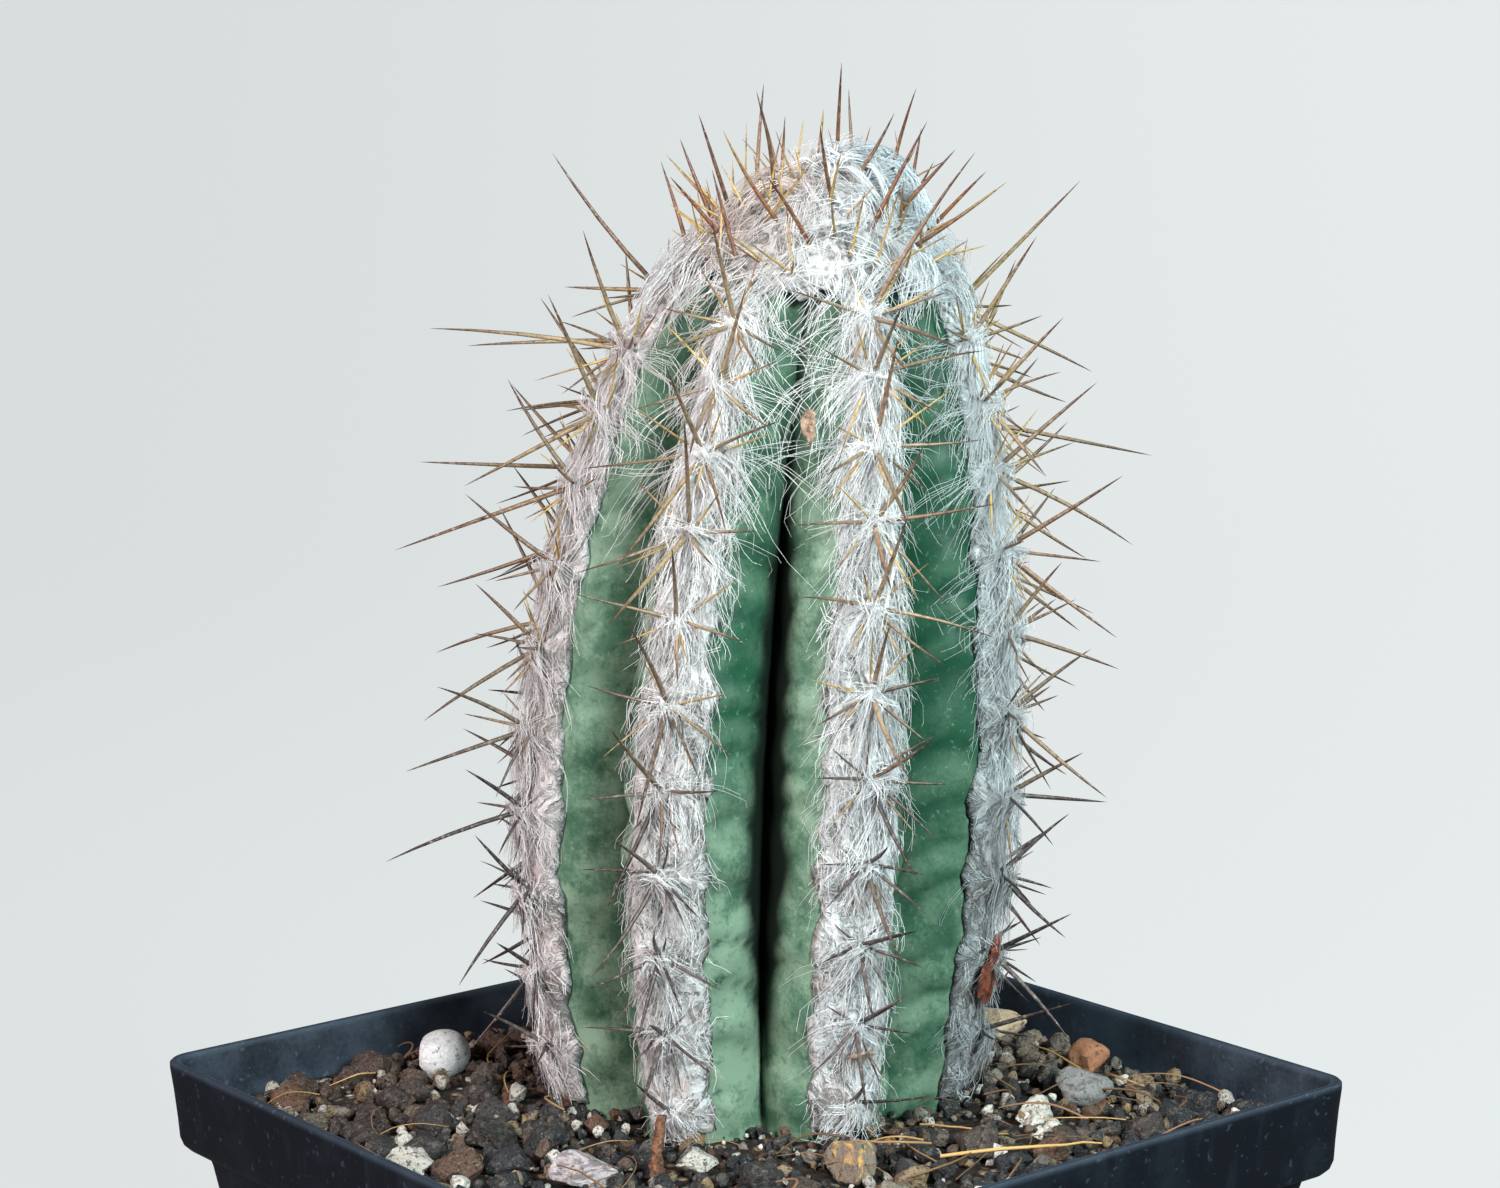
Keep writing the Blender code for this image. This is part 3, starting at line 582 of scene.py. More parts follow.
def mat_material(look):
    """Matted wool under the loose hairs: streaks along its flow, dirt in patches, painted shade between
    its fibres and in its hollows, and painted light and shade in each mat's stored colour scale.
    """
    bench = Finish("wool_matted", Roughness=0.85, Specular_IOR_Level=0.2)
    age = bench.attribute("age")
    flow = bench.attribute("flow", output=1)
    broad = bench.noise(2.4, 3, 0.6, bench.vectors("MULTIPLY", flow, (1, 0.35, 1)))
    curl = bench.noise(1.5, 2, 0.5, flow) - 0.5
    sideways = bench.add("ShaderNodeCombineXYZ", inputs={0: (broad - 0.5) * 5 + curl * 3.5})
    bent = bench.vectors("ADD", flow, bench.stretched(sideways, MM))

    def strands(*kinds):
        """Bright lines where noise, turned and drawn out along the flow, crosses its middle."""
        brightest = None
        for turn, size, thin in kinds:
            inputs = {"Vector": bent, "Center": (0, 0, 0), "Angle": turn}
            turned = bench.add("ShaderNodeVectorRotate", {"rotation_type": "Z_AXIS"}, inputs)
            lines = bench.noise(size, 1.5, 0.5, bench.vectors("MULTIPLY", turned, (1, 0.12, 1)))
            lines = bench.clamped(1 - bench.maths("ABSOLUTE", lines - 0.5) / thin)
            brightest = bench.maths("MAXIMUM", brightest, lines) if brightest else lines
        return brightest

    locks = strands((0.12, 2.1, 0.055), (-0.3, 1.7, 0.05))
    fine = strands((0.3, 0.85, 0.048), (-0.5, 0.95, 0.048), (0.85, 1.0, 0.04))
    dense = bench.ramped(broad, 0.36, 0.62)
    fibres = bench.maths("MAXIMUM", locks, fine * (0.45 + dense * 0.45))
    patchy = bench.ramped(bench.noise(6, 2, 0.5), 0.42, 0.6)
    # Painted shade in the hollows where the mat dips between areoles.
    hollow = bench.clamped(bench.attribute("hollow") * bench.ramped(broad, 0.35, 0.6) * patchy)
    soiled = bench.ramped(bench.noise(3.5, 4, 0.65), 0.48, 0.64) * (1 - age * 0.7)
    colour = bench.layered(look.old, (age, look.young), (soiled * 0.5, (0.30, 0.20, 0.16)))
    # Painted shade between the fibres, lighter where the wool is dense and darker where it is thin.
    under = bench.layered(
        bench.mixed(1.0, colour, (0.21, 0.23, 0.21), "MULTIPLY"),
        (dense * 0.35, colour),
        (hollow * 0.75, (0.05, 0.06, 0.05)),
        (bench.ramped(broad, 0.3, 0.42, 0.6, 0.0), (0.10, 0.10, 0.09)),
    )
    specks = bench.ramped(bench.noise(0.7, 3, 0.7), 0.63, 0.69) * (1 - age)
    colour = bench.layered(under, (fibres, colour), (specks * 0.7, (0.07, 0.05, 0.04)))
    # Painted light and shade: each mat's colour is scaled by the light and tone it carries.
    return bench.made(
        Base_Color=bench.vectors("MULTIPLY", colour, bench.attribute("brightness", output=1)),
        Normal=bench.bump(fibres * 0.8 + broad, 0.24),
    )


def spine_material():
    """Horn whose colour comes from its place on the spine, streaked lighter and darker."""
    bench = Finish("spine_horn", Roughness=0.42, Specular_IOR_Level=0.4)
    colour = bench.attribute("lock_colour", output=0)
    streak = bench.noise(0.5, 3, 0.65)
    lighter = bench.mixed(0.5, colour, (0.55, 0.48, 0.40))
    colour = bench.mixed(bench.ramped(streak, 0.52, 0.72) * 0.6, colour, lighter)
    darker = bench.mixed(1.0, colour, (0.32, 0.25, 0.22), "MULTIPLY")
    return bench.made(
        Base_Color=bench.mixed(bench.ramped(streak, 0.30, 0.50, 0.85, 0.0), colour, darker),
        Normal=bench.bump(streak, 0.06, 0.6),
    )


GRAIN_TONES = (  # place along the mix, colour: charcoal first, then the rarer stones
    (0.0, (0.012, 0.014, 0.018)),
    (0.26, (0.028, 0.031, 0.037)),
    (0.44, (0.020, 0.021, 0.022)),
    (0.55, (0.075, 0.055, 0.042)),
    (0.64, (0.14, 0.062, 0.032)),
    (0.70, (0.075, 0.08, 0.08)),
    (0.80, (0.28, 0.19, 0.09)),
    (0.87, (0.23, 0.225, 0.21)),
    (0.93, (0.70, 0.67, 0.60)),
)


def grain_material():
    """Porous stone of many tones, reddish towards the back and paler towards the right, with painted
    shade in its pores.
    """
    bench = Finish("grit_grain", Specular_IOR_Level=0.4)
    cloud = bench.noise(1.3, 4, 0.65)
    fine = bench.noise(0.28, 3, 0.7)
    pores = bench.noise(0.55, 2, 0.6)
    backward = bench.axis(1)
    waver = cloud * 30 * MM
    mouldy = bench.ramped(backward + waver, 15 * MM, 60 * MM, 0.0, 0.5)
    away = bench.axis(0) + backward * 0.6
    # Paler towards the right.
    paler_to_right = bench.ramped(away + waver, 35 * MM, 60 * MM, 0.0, 0.72)
    colour = bench.layered(
        bench.toned(bench.attribute("tone") + (cloud - 0.5) * 0.06),
        (mouldy, (0.10, 0.045, 0.026)),
        (paler_to_right, (0.26, 0.21, 0.16)),
        (bench.ramped(cloud, 0.5, 0.75) * 0.45, (0.30, 0.26, 0.21)),
    )
    # Painted shade in the pores and low spots of the relief.
    pitted = bench.mixed(1.0, colour, (0.2, 0.17, 0.15), "MULTIPLY")
    holes = bench.ramped(pores, 0.34, 0.46, 0.9, 0.0) + bench.ramped(fine, 0.3, 0.5, 0.7, 0.0)
    bright = bench.ramped(fine, 0.6, 0.74) * 0.55
    colour = bench.layered(colour, (bench.clamped(holes), pitted), (bright, (0.55, 0.52, 0.46)))
    return bench.made(
        Base_Color=bench.stretched(colour, 0.8),
        Roughness=bench.ramped(cloud, 0.3, 0.7, 0.6, 0.95),
        Normal=bench.bump(cloud + fine * 0.6 + pores, 0.4),
    )


def earth_material(look):
    """Crumbs as small as the grains' finest, packed side by side in dark earth."""
    bench = Finish("grit_earth", Roughness=0.95, Specular_IOR_Level=0.2)
    fine = bench.noise(0.5, 3, 0.7)
    crumbs = {"Vector": bench.place(), "Scale": 1 / (1.5 * MM)}
    away, hue = (bench.add("ShaderNodeTexVoronoi", inputs=crumbs, output=i) for i in (0, 1))
    tone = bench.add("ShaderNodeSeparateColor", inputs={0: hue})
    colour = bench.layered(
        bench.toned(tone * 0.95),
        (bench.ramped(away + fine * 0.4, 0.45, 0.75), look.earth),
        # Painted highlights: paler specks on the crumbs.
        (bench.ramped(fine, 0.6, 0.72) * 0.6, (0.16, 0.12, 0.09)),
    )
    return bench.made(Base_Color=colour, Normal=bench.bump(fine * 0.5 - away, 0.9))


def stone_material(name, ground, vein, size, share, stripes=1.0):
    """Stone of a ground colour with veins or patches of another, striped if stripes is under 1."""
    bench = Finish(name, Roughness=0.82, Specular_IOR_Level=0.35)
    place = bench.vectors("MULTIPLY", bench.place(), (1, 1, 1 / stripes))
    patch = bench.noise(size, 5, 0.62, place, 0.8)
    fine = bench.noise(0.3, 4, 0.7)
    # Painted shade in the pits that the relief sinks.
    pit = bench.ramped(bench.noise(0.8, 3, 0.65), 0.28, 0.42, 1.0, 0.0)
    colour = bench.layered(
        ground,
        (bench.ramped(patch, share, share + 0.14), vein),
        (pit * 0.75, tuple(part * 0.18 for part in ground)),
        (bench.ramped(fine, 0.3, 0.7, 0.35, 0.0), (0.05, 0.04, 0.035)),
    )
    relief = bench.bump(patch * 1.2 + fine * 0.5 - pit * 0.8, 0.35, 0.9)
    return bench.made(Base_Color=colour, Normal=relief)


def dry_material(name, light, dark, size):
    """Dry plant stuff: streaked from light to dark."""
    bench = Finish(name, Roughness=0.75, Specular_IOR_Level=0.3)
    streak = bench.noise(size, 4, 0.7, distortion=0.5)
    fine = bench.noise(size / 4, 2, 0.7)
    return bench.made(
        Base_Color=bench.mixed(bench.ramped(streak, 0.35, 0.65), dark, light),
        Normal=bench.bump(streak + fine * 0.5, 0.15, 0.9),
    )


# Growth trees


def start_tree(name, **inputs):
    """A geometry tree with a mesh and other named inputs coming in, and a mesh going out."""
    tree = bpy.data.node_groups.new(name, "GeometryNodeTree")
    for label, kind in {"Geometry": "Geometry", **inputs}.items():
        tree.interface.new_socket(label, in_out="INPUT", socket_type=f"NodeSocket{kind}")
    tree.interface.new_socket("Geometry", in_out="OUTPUT", socket_type="NodeSocketGeometry")
    entry = tree.nodes.new("NodeGroupInput")
    bench = Bench(tree)
    return bench, {socket.name: Wire(bench, socket) for socket in entry.outputs if socket.name}


def end_tree(bench, geometry, material):
    geometry = bench.grow("RealizeInstances", inputs={0: geometry})
    geometry = bench.grow("SetShadeSmooth", inputs={0: geometry})
    geometry = bench.grow("SetMaterial", inputs={"Geometry": geometry, "Material": material})
    leave = bench.tree.nodes.new("NodeGroupOutput")
    bench.tree.links.new(geometry.socket, leave.inputs[0])
    return bench.tree


def strand_tree():
    """Tubes along guide lines: each is copied, and its copies part, fan out, stray and end unevenly."""
    bench, wires = start_tree(
        "strands",
        Sides="Int",
        Fan="Float",
        Frizz="Float",
        Curl="Float",
        Shortest="Float",
        Seed="Int",
        Material="Material",
    )
    curve = bench.grow("MeshToCurve", inputs={0: wires["Geometry"]})
    copied = {"Geometry": curve, "Amount": bench.stored("copies")}
    curve = bench.grow("DuplicateElements", {"domain": "SPLINE"}, copied)
    index = bench.grow("InputIndex")
    along = bench.grow("SplineParameter")

    def drawn(seed, low, high):
        """A random value for each strand."""
        value = bench.chance(wires["Seed"] + seed, low, high, ID=index)
        kind = "FLOAT_VECTOR" if isinstance(low, tuple) else "FLOAT"
        return bench.grow("FieldOnDomain", {"domain": "CURVE", "data_type": kind}, {0: value})

    apart = drawn(1, (-1, -1, -1), (1, 1, 1))
    fanned = bench.stretched(drawn(2, (-1, -1, -1), (1, 1, 1)), along * along * wires["Fan"])
    offset = bench.stretched(bench.vectors("ADD", apart, fanned), bench.stored("room"))
    here = bench.vectors("ADD", bench.grow("InputPosition"), bench.stretched(apart, 0.35))
    curls = {"Vector": here, "Scale": 1 / wires["Curl"], "Detail": 1.0}
    stray = bench.add("ShaderNodeTexNoise", inputs=curls, output=1)
    stray = bench.vectors("SUBTRACT", stray, (0.5, 0.5, 0.5))
    wildness = wires["Frizz"] * bench.stored("room") * along**0.7 * drawn(5, 0.5, 3.5)
    offset = bench.vectors("ADD", offset, bench.stretched(stray, wildness))
    curve = bench.grow("SetPosition", inputs={"Geometry": curve, "Offset": offset})
    curve = bench.labelled(curve, "tone", drawn(3, 0.0, 1.0))
    cut = {"Curve": curve, "End": drawn(4, wires["Shortest"], 1.0)}
    curve = bench.grow("TrimCurve", {"mode": "FACTOR"}, cut)
    ring = {"Resolution": wires["Sides"], "Radius": 1.0}
    ring = bench.grow("CurvePrimitiveCircle", {"mode": "RADIUS"}, ring)
    tube = {"Curve": curve, "Profile Curve": ring, "Scale": bench.stored("girth"), "Fill Caps": True}
    return end_tree(bench, bench.grow("CurveToMesh", inputs=tube), wires["Material"])


def scatter_tree():
    """Grains laid over a surface at random, turned and sized at random."""
    bench, wires = start_tree(
        "scattered_grains",
        Grains="Collection",
        Density="Float",
        Small="Float",
        Large="Float",
        Sink="Float",
        Seed="Int",
        Material="Material",
    )
    seed = wires["Seed"]
    laid = {"Mesh": wires["Geometry"], "Density": wires["Density"], "Seed": seed}
    points = bench.grow("DistributePointsOnFaces", {"distribute_method": "RANDOM"}, laid)
    drop = {2: bench.chance(seed + 3, -1.0, 0.6) * wires["Sink"]}
    drop = bench.add("ShaderNodeCombineXYZ", inputs=drop)
    points = bench.grow("SetPosition", inputs={"Geometry": points, "Offset": drop})
    points = bench.labelled(points, "tone", bench.chance(seed + 4, 0.0, 1.0))
    apart = {0: wires["Grains"], "Separate Children": True, "Reset Children": True}
    grains = bench.grow("CollectionInfo", inputs=apart)
    size = bench.chance(seed + 2, 0.0, 1.0)
    grains = {
        "Points": points,
        "Instance": grains,
        "Pick Instance": True,
        "Rotation": bench.chance(seed + 1, (0, 0, 0), (math.tau, math.tau, math.tau)),
        "Scale": wires["Small"] + (wires["Large"] - wires["Small"]) * size * size,
    }
    return end_tree(bench, bench.grow("InstanceOnPoints", inputs=grains), wires["Material"])


def grown(name, mesh, tree, **inputs):
    """An object made by running a growth tree over a mesh, kept as a plain mesh."""
    thing = new_object(name, mesh)
    modifier = thing.modifiers.new("growth", "NODES")
    modifier.node_group = tree
    for item in tree.interface.items_tree:
        if item.item_type == "SOCKET" and item.in_out == "INPUT" and item.name in inputs:
            modifier[item.identifier] = inputs[item.name]
    thing.update_tag()
    keep_evaluated(thing)
    bpy.data.meshes.remove(mesh)
    return thing


# Plain objects


def keep_evaluated(thing):
    """Keeps what a thing's modifiers make of it as its plain mesh."""
    graph = bpy.context.evaluated_depsgraph_get()
    thing.data = bpy.data.meshes.new_from_object(thing.evaluated_get(graph))
    thing.modifiers.clear()


def drop_collection(collection):
    for thing in list(collection.objects):
        bpy.data.objects.remove(thing)
    bpy.data.collections.remove(collection)


def new_object(name, mesh, material=None):
    thing = bpy.data.objects.new(name, mesh)
    bpy.context.scene.collection.objects.link(thing)
    if material:
        mesh.materials.append(material)
    return thing


def settle(thing, slot, *nodes):
    """A finished piece rides on the one body and stands for its solids, which are hidden; the slot it
    is given is not used.
    """
    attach(thing, BODY)
    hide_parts(*nodes)


def mesh_from(name, points, faces):
    mesh = bpy.data.meshes.new(name)
    mesh.from_pydata(np.asarray(points).reshape(-1, 3).tolist(), [], faces)
    mesh.update()
    mesh.shade_smooth()
    return mesh


def mesh_of(name, shape):
    """A mesh of a finished bmesh shape, which is freed."""
    mesh = bpy.data.meshes.new(name)
    shape.to_mesh(mesh)
    shape.free()
    return mesh


def store(mesh, name, values, kind="FLOAT"):
    data = mesh.attributes.new(name, kind, "POINT").data
    field = {"FLOAT": "value", "FLOAT_COLOR": "color", "FLOAT_VECTOR": "vector"}[kind]
    data.foreach_set(field, np.asarray(values, np.float32).ravel())


def grid_faces(rows, columns, wrap=True):
    """Quads through a grid of points, rows first, joined round if wrap is set."""
    faces = []
    for row in range(rows - 1):
        for column in range(columns if wrap else columns - 1):
            a = row * columns + column
            b = row * columns + (column + 1) % columns
            faces.append((a, b, b + columns, a + columns))
    return faces


def capped_faces(rows, columns):
    """Quads of a closed loft, with a single face over each end."""
    foot = tuple(reversed(range(columns)))
    return [*grid_faces(rows, columns), foot, tuple(range((rows - 1) * columns, rows * columns))]


class Guides:
    """Guide lines for strands, added group by group; a group's lines have as many points each."""

    def __init__(self):
        self.count = 0
        self.points = []
        self.edges = []
        self.values = {"lock_colour": [], "girth": [], "room": [], "copies": []}

    def add(self, paths, colour, girth, room=0.0, copies=1.0):
        """Paths (n, points, 3), with a colour, girth and room for each point, or wider."""
        shape = np.shape(paths)[:2]
        start = self.count + np.arange(shape[0])[:, None] * shape[1] + np.arange(shape[1] - 1)
        self.edges.append(np.stack([start, start + 1], -1).reshape(-1, 2))
        self.points.append(np.reshape(paths, (-1, 3)))
        self.count += shape[0] * shape[1]
        colour = np.broadcast_to(np.clip(colour, 0.004, 0.95), (*shape, 3)).reshape(-1, 3)
        opaque = np.ones((len(colour), 1))
        self.values["lock_colour"].append(np.hstack([colour, opaque]))
        for name, value in (("girth", girth), ("room", room), ("copies", copies)):
            self.values[name].append(np.broadcast_to(value, shape).ravel())

    def mesh(self, name):
        mesh = bpy.data.meshes.new(name)
        mesh.vertices.add(self.count)
        mesh.vertices.foreach_set("co", np.vstack(self.points).astype(np.float32).ravel())
        edges = np.vstack(self.edges).astype(np.int32)
        mesh.edges.add(len(edges))
        mesh.edges.foreach_set("vertices", edges.ravel())
        mesh.update()
        for label, groups in self.values.items():
            kind = "FLOAT_COLOR" if label == "lock_colour" else "FLOAT"
            store(mesh, label, np.concatenate(groups), kind)
        return mesh


def stacked(*parts):
    """Points or vectors from their coordinates, each spread to the same shape."""
    return np.stack(np.broadcast_arrays(*parts), -1)


def ring_angles(count):
    return np.arange(count) / count * math.tau


def diagonal(size):
    return Matrix.Diagonal((*size, 1))


def blend(first, second, share):
    return first * (1 - share) + second * share


# Stem surface


def smooth_curve(points, steps=40):
    """Points on a Catmull-Rom curve through the given ones, level where it reaches the apex."""
    points = np.asarray(points, float)
    before = 2 * points[0] - points[1]
    after = points[-2] * (1, -1, 1)
    padded = np.vstack([before, points, after])
    found = []
    for i in range(1, len(padded) - 2):
        a, b, c, d = padded[i - 1 : i + 3]
        for step in range(steps):
            t = step / steps
            found.append(
                0.5 * (2 * b + (c - a) * t + (2 * a - 5 * b + 4 * c - d) * t**2)
                + 0.5 * (3 * b - a - 3 * c + d) * t**3
            )
    return np.array(found + [points[-1]])


CURVE = smooth_curve(STEM_PROFILE) * MM
LENGTHS = np.concatenate([[0], np.cumsum(np.hypot(*np.diff(CURVE[:, :2], axis=0).T))])
LENGTHS -= np.interp(0, CURVE[:, 0], LENGTHS)
STEM_BOTTOM, STEM_TOP = LENGTHS[0], LENGTHS[-1]


def across_rib(angle):
    """(rib number, place across it): 0 on the crest, 1 or -1 in the furrow beside it."""
    turns = (angle - FIRST_RIB_ANGLE) / RIB_PITCH
    rib = np.round(turns)
    return rib.astype(int) % RIBS, 2 * (turns - rib)


def rib_angle(rib, place=0.0):
    return FIRST_RIB_ANGLE + RIB_PITCH * (rib + np.asarray(place) / 2)


def crest_radius(along):
    return np.interp(along, LENGTHS, CURVE[:, 1])


def half_rib(along):
    """The way round the stem from a rib's crest to its furrow."""
    return crest_radius(along) * RIB_PITCH / 2


def areoles(rib):
    """Distances along a rib's crest at which its areoles sit, closer together near the crown."""
    found = []
    along = FIRST_AREOLE[rib]
    while along < LAST_AREOLE:
        found.append(along)
        near_crown = min(max((along - CROWDED_FROM) / CROWDED_OVER, 0), 1)
        along += AREOLE_PITCH + (CROWN_PITCH - AREOLE_PITCH) * near_crown
    return np.array(found)


def age_at(along):
    """0 for the oldest areoles, near the grit, to 1 for those near the crown."""
    return np.clip((np.asarray(along) - OLDEST_UNDER) / AGED_OVER, 0, 1)


def stem_point(angle, along, ribbed=True):
    """The stem's surface at angles round the axis and distances along the crest."""
    angle, along = np.broadcast_arrays(np.asarray(angle, float), np.asarray(along, float))
    height = np.interp(along, LENGTHS, CURVE[:, 0])
    radius = crest_radius(along)
    if ribbed:
        depth = np.interp(along, LENGTHS, CURVE[:, 2])
        rib, place = across_rib(angle)
        flank = np.abs(place)
        rise, fall = RIB_ROUNDNESS
        radius = radius - depth * (1 - np.maximum(1 - flank**rise, 0) ** fall)
        phase = math.tau * (along - FIRST_AREOLE[rib]) / AREOLE_PITCH
        beside = np.maximum(0, flank - 0.5) * np.maximum(0, 1 - flank) * 16
        radius = radius + BULGE * beside * np.cos(phase) * np.minimum(depth / (8 * MM), 1)
    lean = LEAN * (np.maximum(height, 0) / LEAN_HEIGHT) ** 2
    across = radius * np.cos(angle) + lean * math.cos(LEAN_ANGLE)
    deep = radius * np.sin(angle) + lean * math.sin(LEAN_ANGLE)
    return np.stack([across, deep, height], -1) + STEM_FOOT


def unit(vectors):
    return vectors / np.maximum(np.linalg.norm(vectors, axis=-1, keepdims=True), 1e-12)


def stem_frame(angle, along, ribbed=True):
    """(point, outward normal, direction up, direction across) on the stem's surface."""
    step, turn = 0.3 * MM, 0.01
    above, below = (stem_point(angle, along + way * step, ribbed) for way in (1, -1))
    left, right = (stem_point(angle + way * turn, along, ribbed) for way in (1, -1))
    up = unit(above - below)
    side = unit(left - right)
    return stem_point(angle, along, ribbed), unit(np.cross(side, up)), up, side


def lifted(angle, along, lift, ribbed=True):
    here, normal, _, _ = stem_frame(angle, along, ribbed)
    return here + normal * np.asarray(lift)[..., None]


def value_noise(points, size, seed):
    """Smooth noise of about -1 to 1 at points (..., 3), with features about size across."""
    lattice = np.random.default_rng(seed).uniform(-1, 1, (32, 32, 32))
    where = points / size
    cell = np.floor(where).astype(int)
    part = where - cell
    part = part * part * (3 - 2 * part)
    total = 0
    for corner in np.ndindex(2, 2, 2):
        value = lattice[tuple((cell[..., i] + corner[i]) % 32 for i in range(3))]
        near = [part[..., i] if corner[i] else 1 - part[..., i] for i in range(3)]
        total = total + value * (near[0] * near[1] * near[2])
    return total


# Grit and stones


def stem_distance(x, y):
    return np.hypot(x - STEM_FOOT[0], y - STEM_FOOT[1])


def grit_level(x, y):
    share = np.minimum(stem_distance(x, y) / GRIT_SLOPE, 1)
    return GRIT_STEM_LEVEL + (GRIT_EDGE_LEVEL - GRIT_STEM_LEVEL) * share**2


def grain_places():
    """Places of the larger fused grains, drawn as in the solids."""
    draw = random.Random(GRIT_SEED)
    keep_off = [(x * MM, y * MM, max(size) * MM) for (x, y), size, _ in STONES.values()]
    keep_off.append((*TWIG_PLACE, TWIG_RADIUS + 0.4 * MM))
    keep_off.append((*STEM_FOOT[:2], GRAINS_OFF_STEM))
    reach = COLLAR_FOOT_SIDE / 2 - WALL - GAP
    found = []
    for _ in range(6000):
        if len(found) == GRAIN_COUNT:
            break
        size = draw.uniform(*GRAIN_RADIUS)
        x, y = (draw.uniform(-1, 1) * (reach - size * 1.5) for _ in range(2))
        in_corner = min(abs(x), abs(y)) > reach - CORNER_RADIUS
        clear = not in_corner and all(
            math.hypot(x - ox, y - oy) > other + size * 1.3 + GAP for ox, oy, other in keep_off
        )
        apart = all(
            math.hypot(x - ox, y - oy) > GRAIN_SPACING * (size + other) for ox, oy, other in found
        )
        if clear and apart:
            found.append((x, y, size))
    return found


def rock_mesh(name, seed, steps, facets, roughness):
    """A stone of about unit radius: a ball cut by flat facets, then roughened."""
    shape = bmesh.new()
    bmesh.ops.create_icosphere(shape, subdivisions=steps, radius=1)
    points = np.array([corner.co for corner in shape.verts])
    draw = np.random.default_rng(seed)
    for way in unit(draw.normal(size=(facets, 3))):
        over = np.maximum(points @ way - draw.uniform(0.55, 0.84), 0)
        points = points - over[:, None] * way
    points = points * (1 + roughness * value_noise(points, 0.45, seed + 1))[:, None]
    points = points * (1 + roughness * 0.5 * value_noise(points, 0.16, seed + 2))[:, None]
    for corner, point in zip(shape.verts, points):
        corner.co = point
    bmesh.ops.recalc_face_normals(shape, faces=shape.faces)
    mesh = mesh_of(name, shape)
    mesh.shade_smooth()
    mesh.set_sharp_from_angle(angle=math.radians(32))
    return mesh


def joined(name, parts):
    """One mesh from (mesh, matrix, tone) parts; tone is stored at every point."""
    shape = bmesh.new()
    tones = []
    for mesh, matrix, tone in parts:
        copy = mesh.copy()
        copy.transform(matrix)
        shape.from_mesh(copy)
        tones += [tone] * len(copy.vertices)
        bpy.data.meshes.remove(copy)
    made = mesh_of(name, shape)
    store(made, "tone", tones)
    return made


# Operators


class CACTUS_OT_pot(bpy.types.Operator):
    """Makes the moulded pot, with a rounded lip, a stepped collar and drain holes"""

    bl_idname = "cactus.pot"
    bl_label = "Pot"

    def execute(self, context):
        look = context.scene.cactus_pot
        outside, inside = self.stations(look.edge_rounding)
        rings = [self.ring(side, height) for height, side in outside + inside]
        points = np.array(rings)
        drift = value_noise(points * (1, 1, 0.6), 26 * MM, 3) * 0.12 * MM
        grip = np.clip((points[..., 2] - 5 * MM) / (20 * MM), 0, 1)
        points[..., :2] += unit(points[..., :2]) * (drift * grip)[..., None]
        mesh = mesh_from("pot_shell", points, capped_faces(len(rings), len(rings[0])))
        inner = np.repeat([0.0] * len(outside) + [1.0] * len(inside), len(rings[0]))
        store(mesh, "inside", inner)
        pot = new_object("pot_shell", mesh, plastic_material(look))
        self.drill(pot)
        pot.data.set_sharp_from_angle(angle=math.radians(38))
        settle(pot, "pot_plastic", "pot")
        return {"FINISHED"}

    def stations(self, lip):
        """(height, side) of each ring of the wall: up its outside, then down its inside."""

        def wall(*heights):
            slope = (BODY_TOP_SIDE - BASE_SIDE) / COLLAR_HEIGHT
            return [(height * MM, BASE_SIDE + slope * height * MM) for height in heights]

        def steps(*rows):
            return [(height * MM, side * MM) for height, side in rows]

        outside = steps((0, 67.6), (0.3, 69.0)) + wall(1.2, 10, 30, 50, 66, 72)
        outside += steps((73.3, 93.6), (73.6, 95.0), (74.1, 97.0), (74.7, 98.1), (75.6, 98.65))
        outside += steps((78.0, 98.9), (81.5, 99.4))
        outside += [
            (POT_HEIGHT - 2 * lip, RIM_SIDE - 0.1 * MM),
            (POT_HEIGHT - 0.6 * lip, RIM_SIDE - 0.1 * MM),
            (POT_HEIGHT - 0.1 * lip, RIM_SIDE - 1.0 * lip),
            (POT_HEIGHT, RIM_SIDE - 2.4 * lip),
        ]
        inside = [
            (POT_HEIGHT - 0.2 * lip, RIM_SIDE + 0.6 * lip),
            (POT_HEIGHT - 1.2 * lip, RIM_SIDE - 0.1 * lip),
        ]
        inside += steps((80, 99.1), (76.2, 98.5), (75.4, 97.7), (74.9, 94.0), (74.0, 93.2))
        inside += wall(60, 40, 20, 3) + [(WALL + 0.3 * MM, 68.6 * MM), (WALL, 67.0 * MM)]
        return outside, [(height, side - 2 * WALL) for height, side in inside]

    def ring(self, side, height, arc_steps=14):
        """Points round a square with round corners."""
        radius = CORNER_RADIUS * side / RIM_SIDE
        inner = side / 2 - radius
        corner = []
        for step in range(arc_steps + 1):
            angle = step / arc_steps * math.pi / 2
            corner.append((inner + radius * math.cos(angle), inner + radius * math.sin(angle)))
        corner += [(inner - 2 * inner * share, side / 2) for share in (0.2, 0.4, 0.6, 0.8)]
        points = []
        for quarter in range(4):
            cos, sin = math.cos(quarter * math.pi / 2), math.sin(quarter * math.pi / 2)
            points += [(x * cos - y * sin, x * sin + y * cos, height) for x, y in corner]
        return points

    def drill(self, pot):
        drills = bpy.data.collections.new("drills")
        bpy.context.scene.collection.children.link(drills)
        for distance, radius, first in DRAIN_HOLES:
            for quarter in range(4):
                angle = math.radians(first + 90 * quarter)
                shape = bmesh.new()
                bmesh.ops.create_cone(
                    shape, cap_ends=True, segments=40, radius1=radius, radius2=radius, depth=6 * MM
                )
                place = (distance * math.cos(angle), distance * math.sin(angle), 0)
                bmesh.ops.translate(shape, verts=shape.verts, vec=place)
                drills.objects.link(bpy.data.objects.new("drill", mesh_of("drill", shape)))
        cut = pot.modifiers.new("holes", "BOOLEAN")
        cut.operand_type = "COLLECTION"
        cut.collection = drills
        keep_evaluated(pot)
        drop_collection(drills)


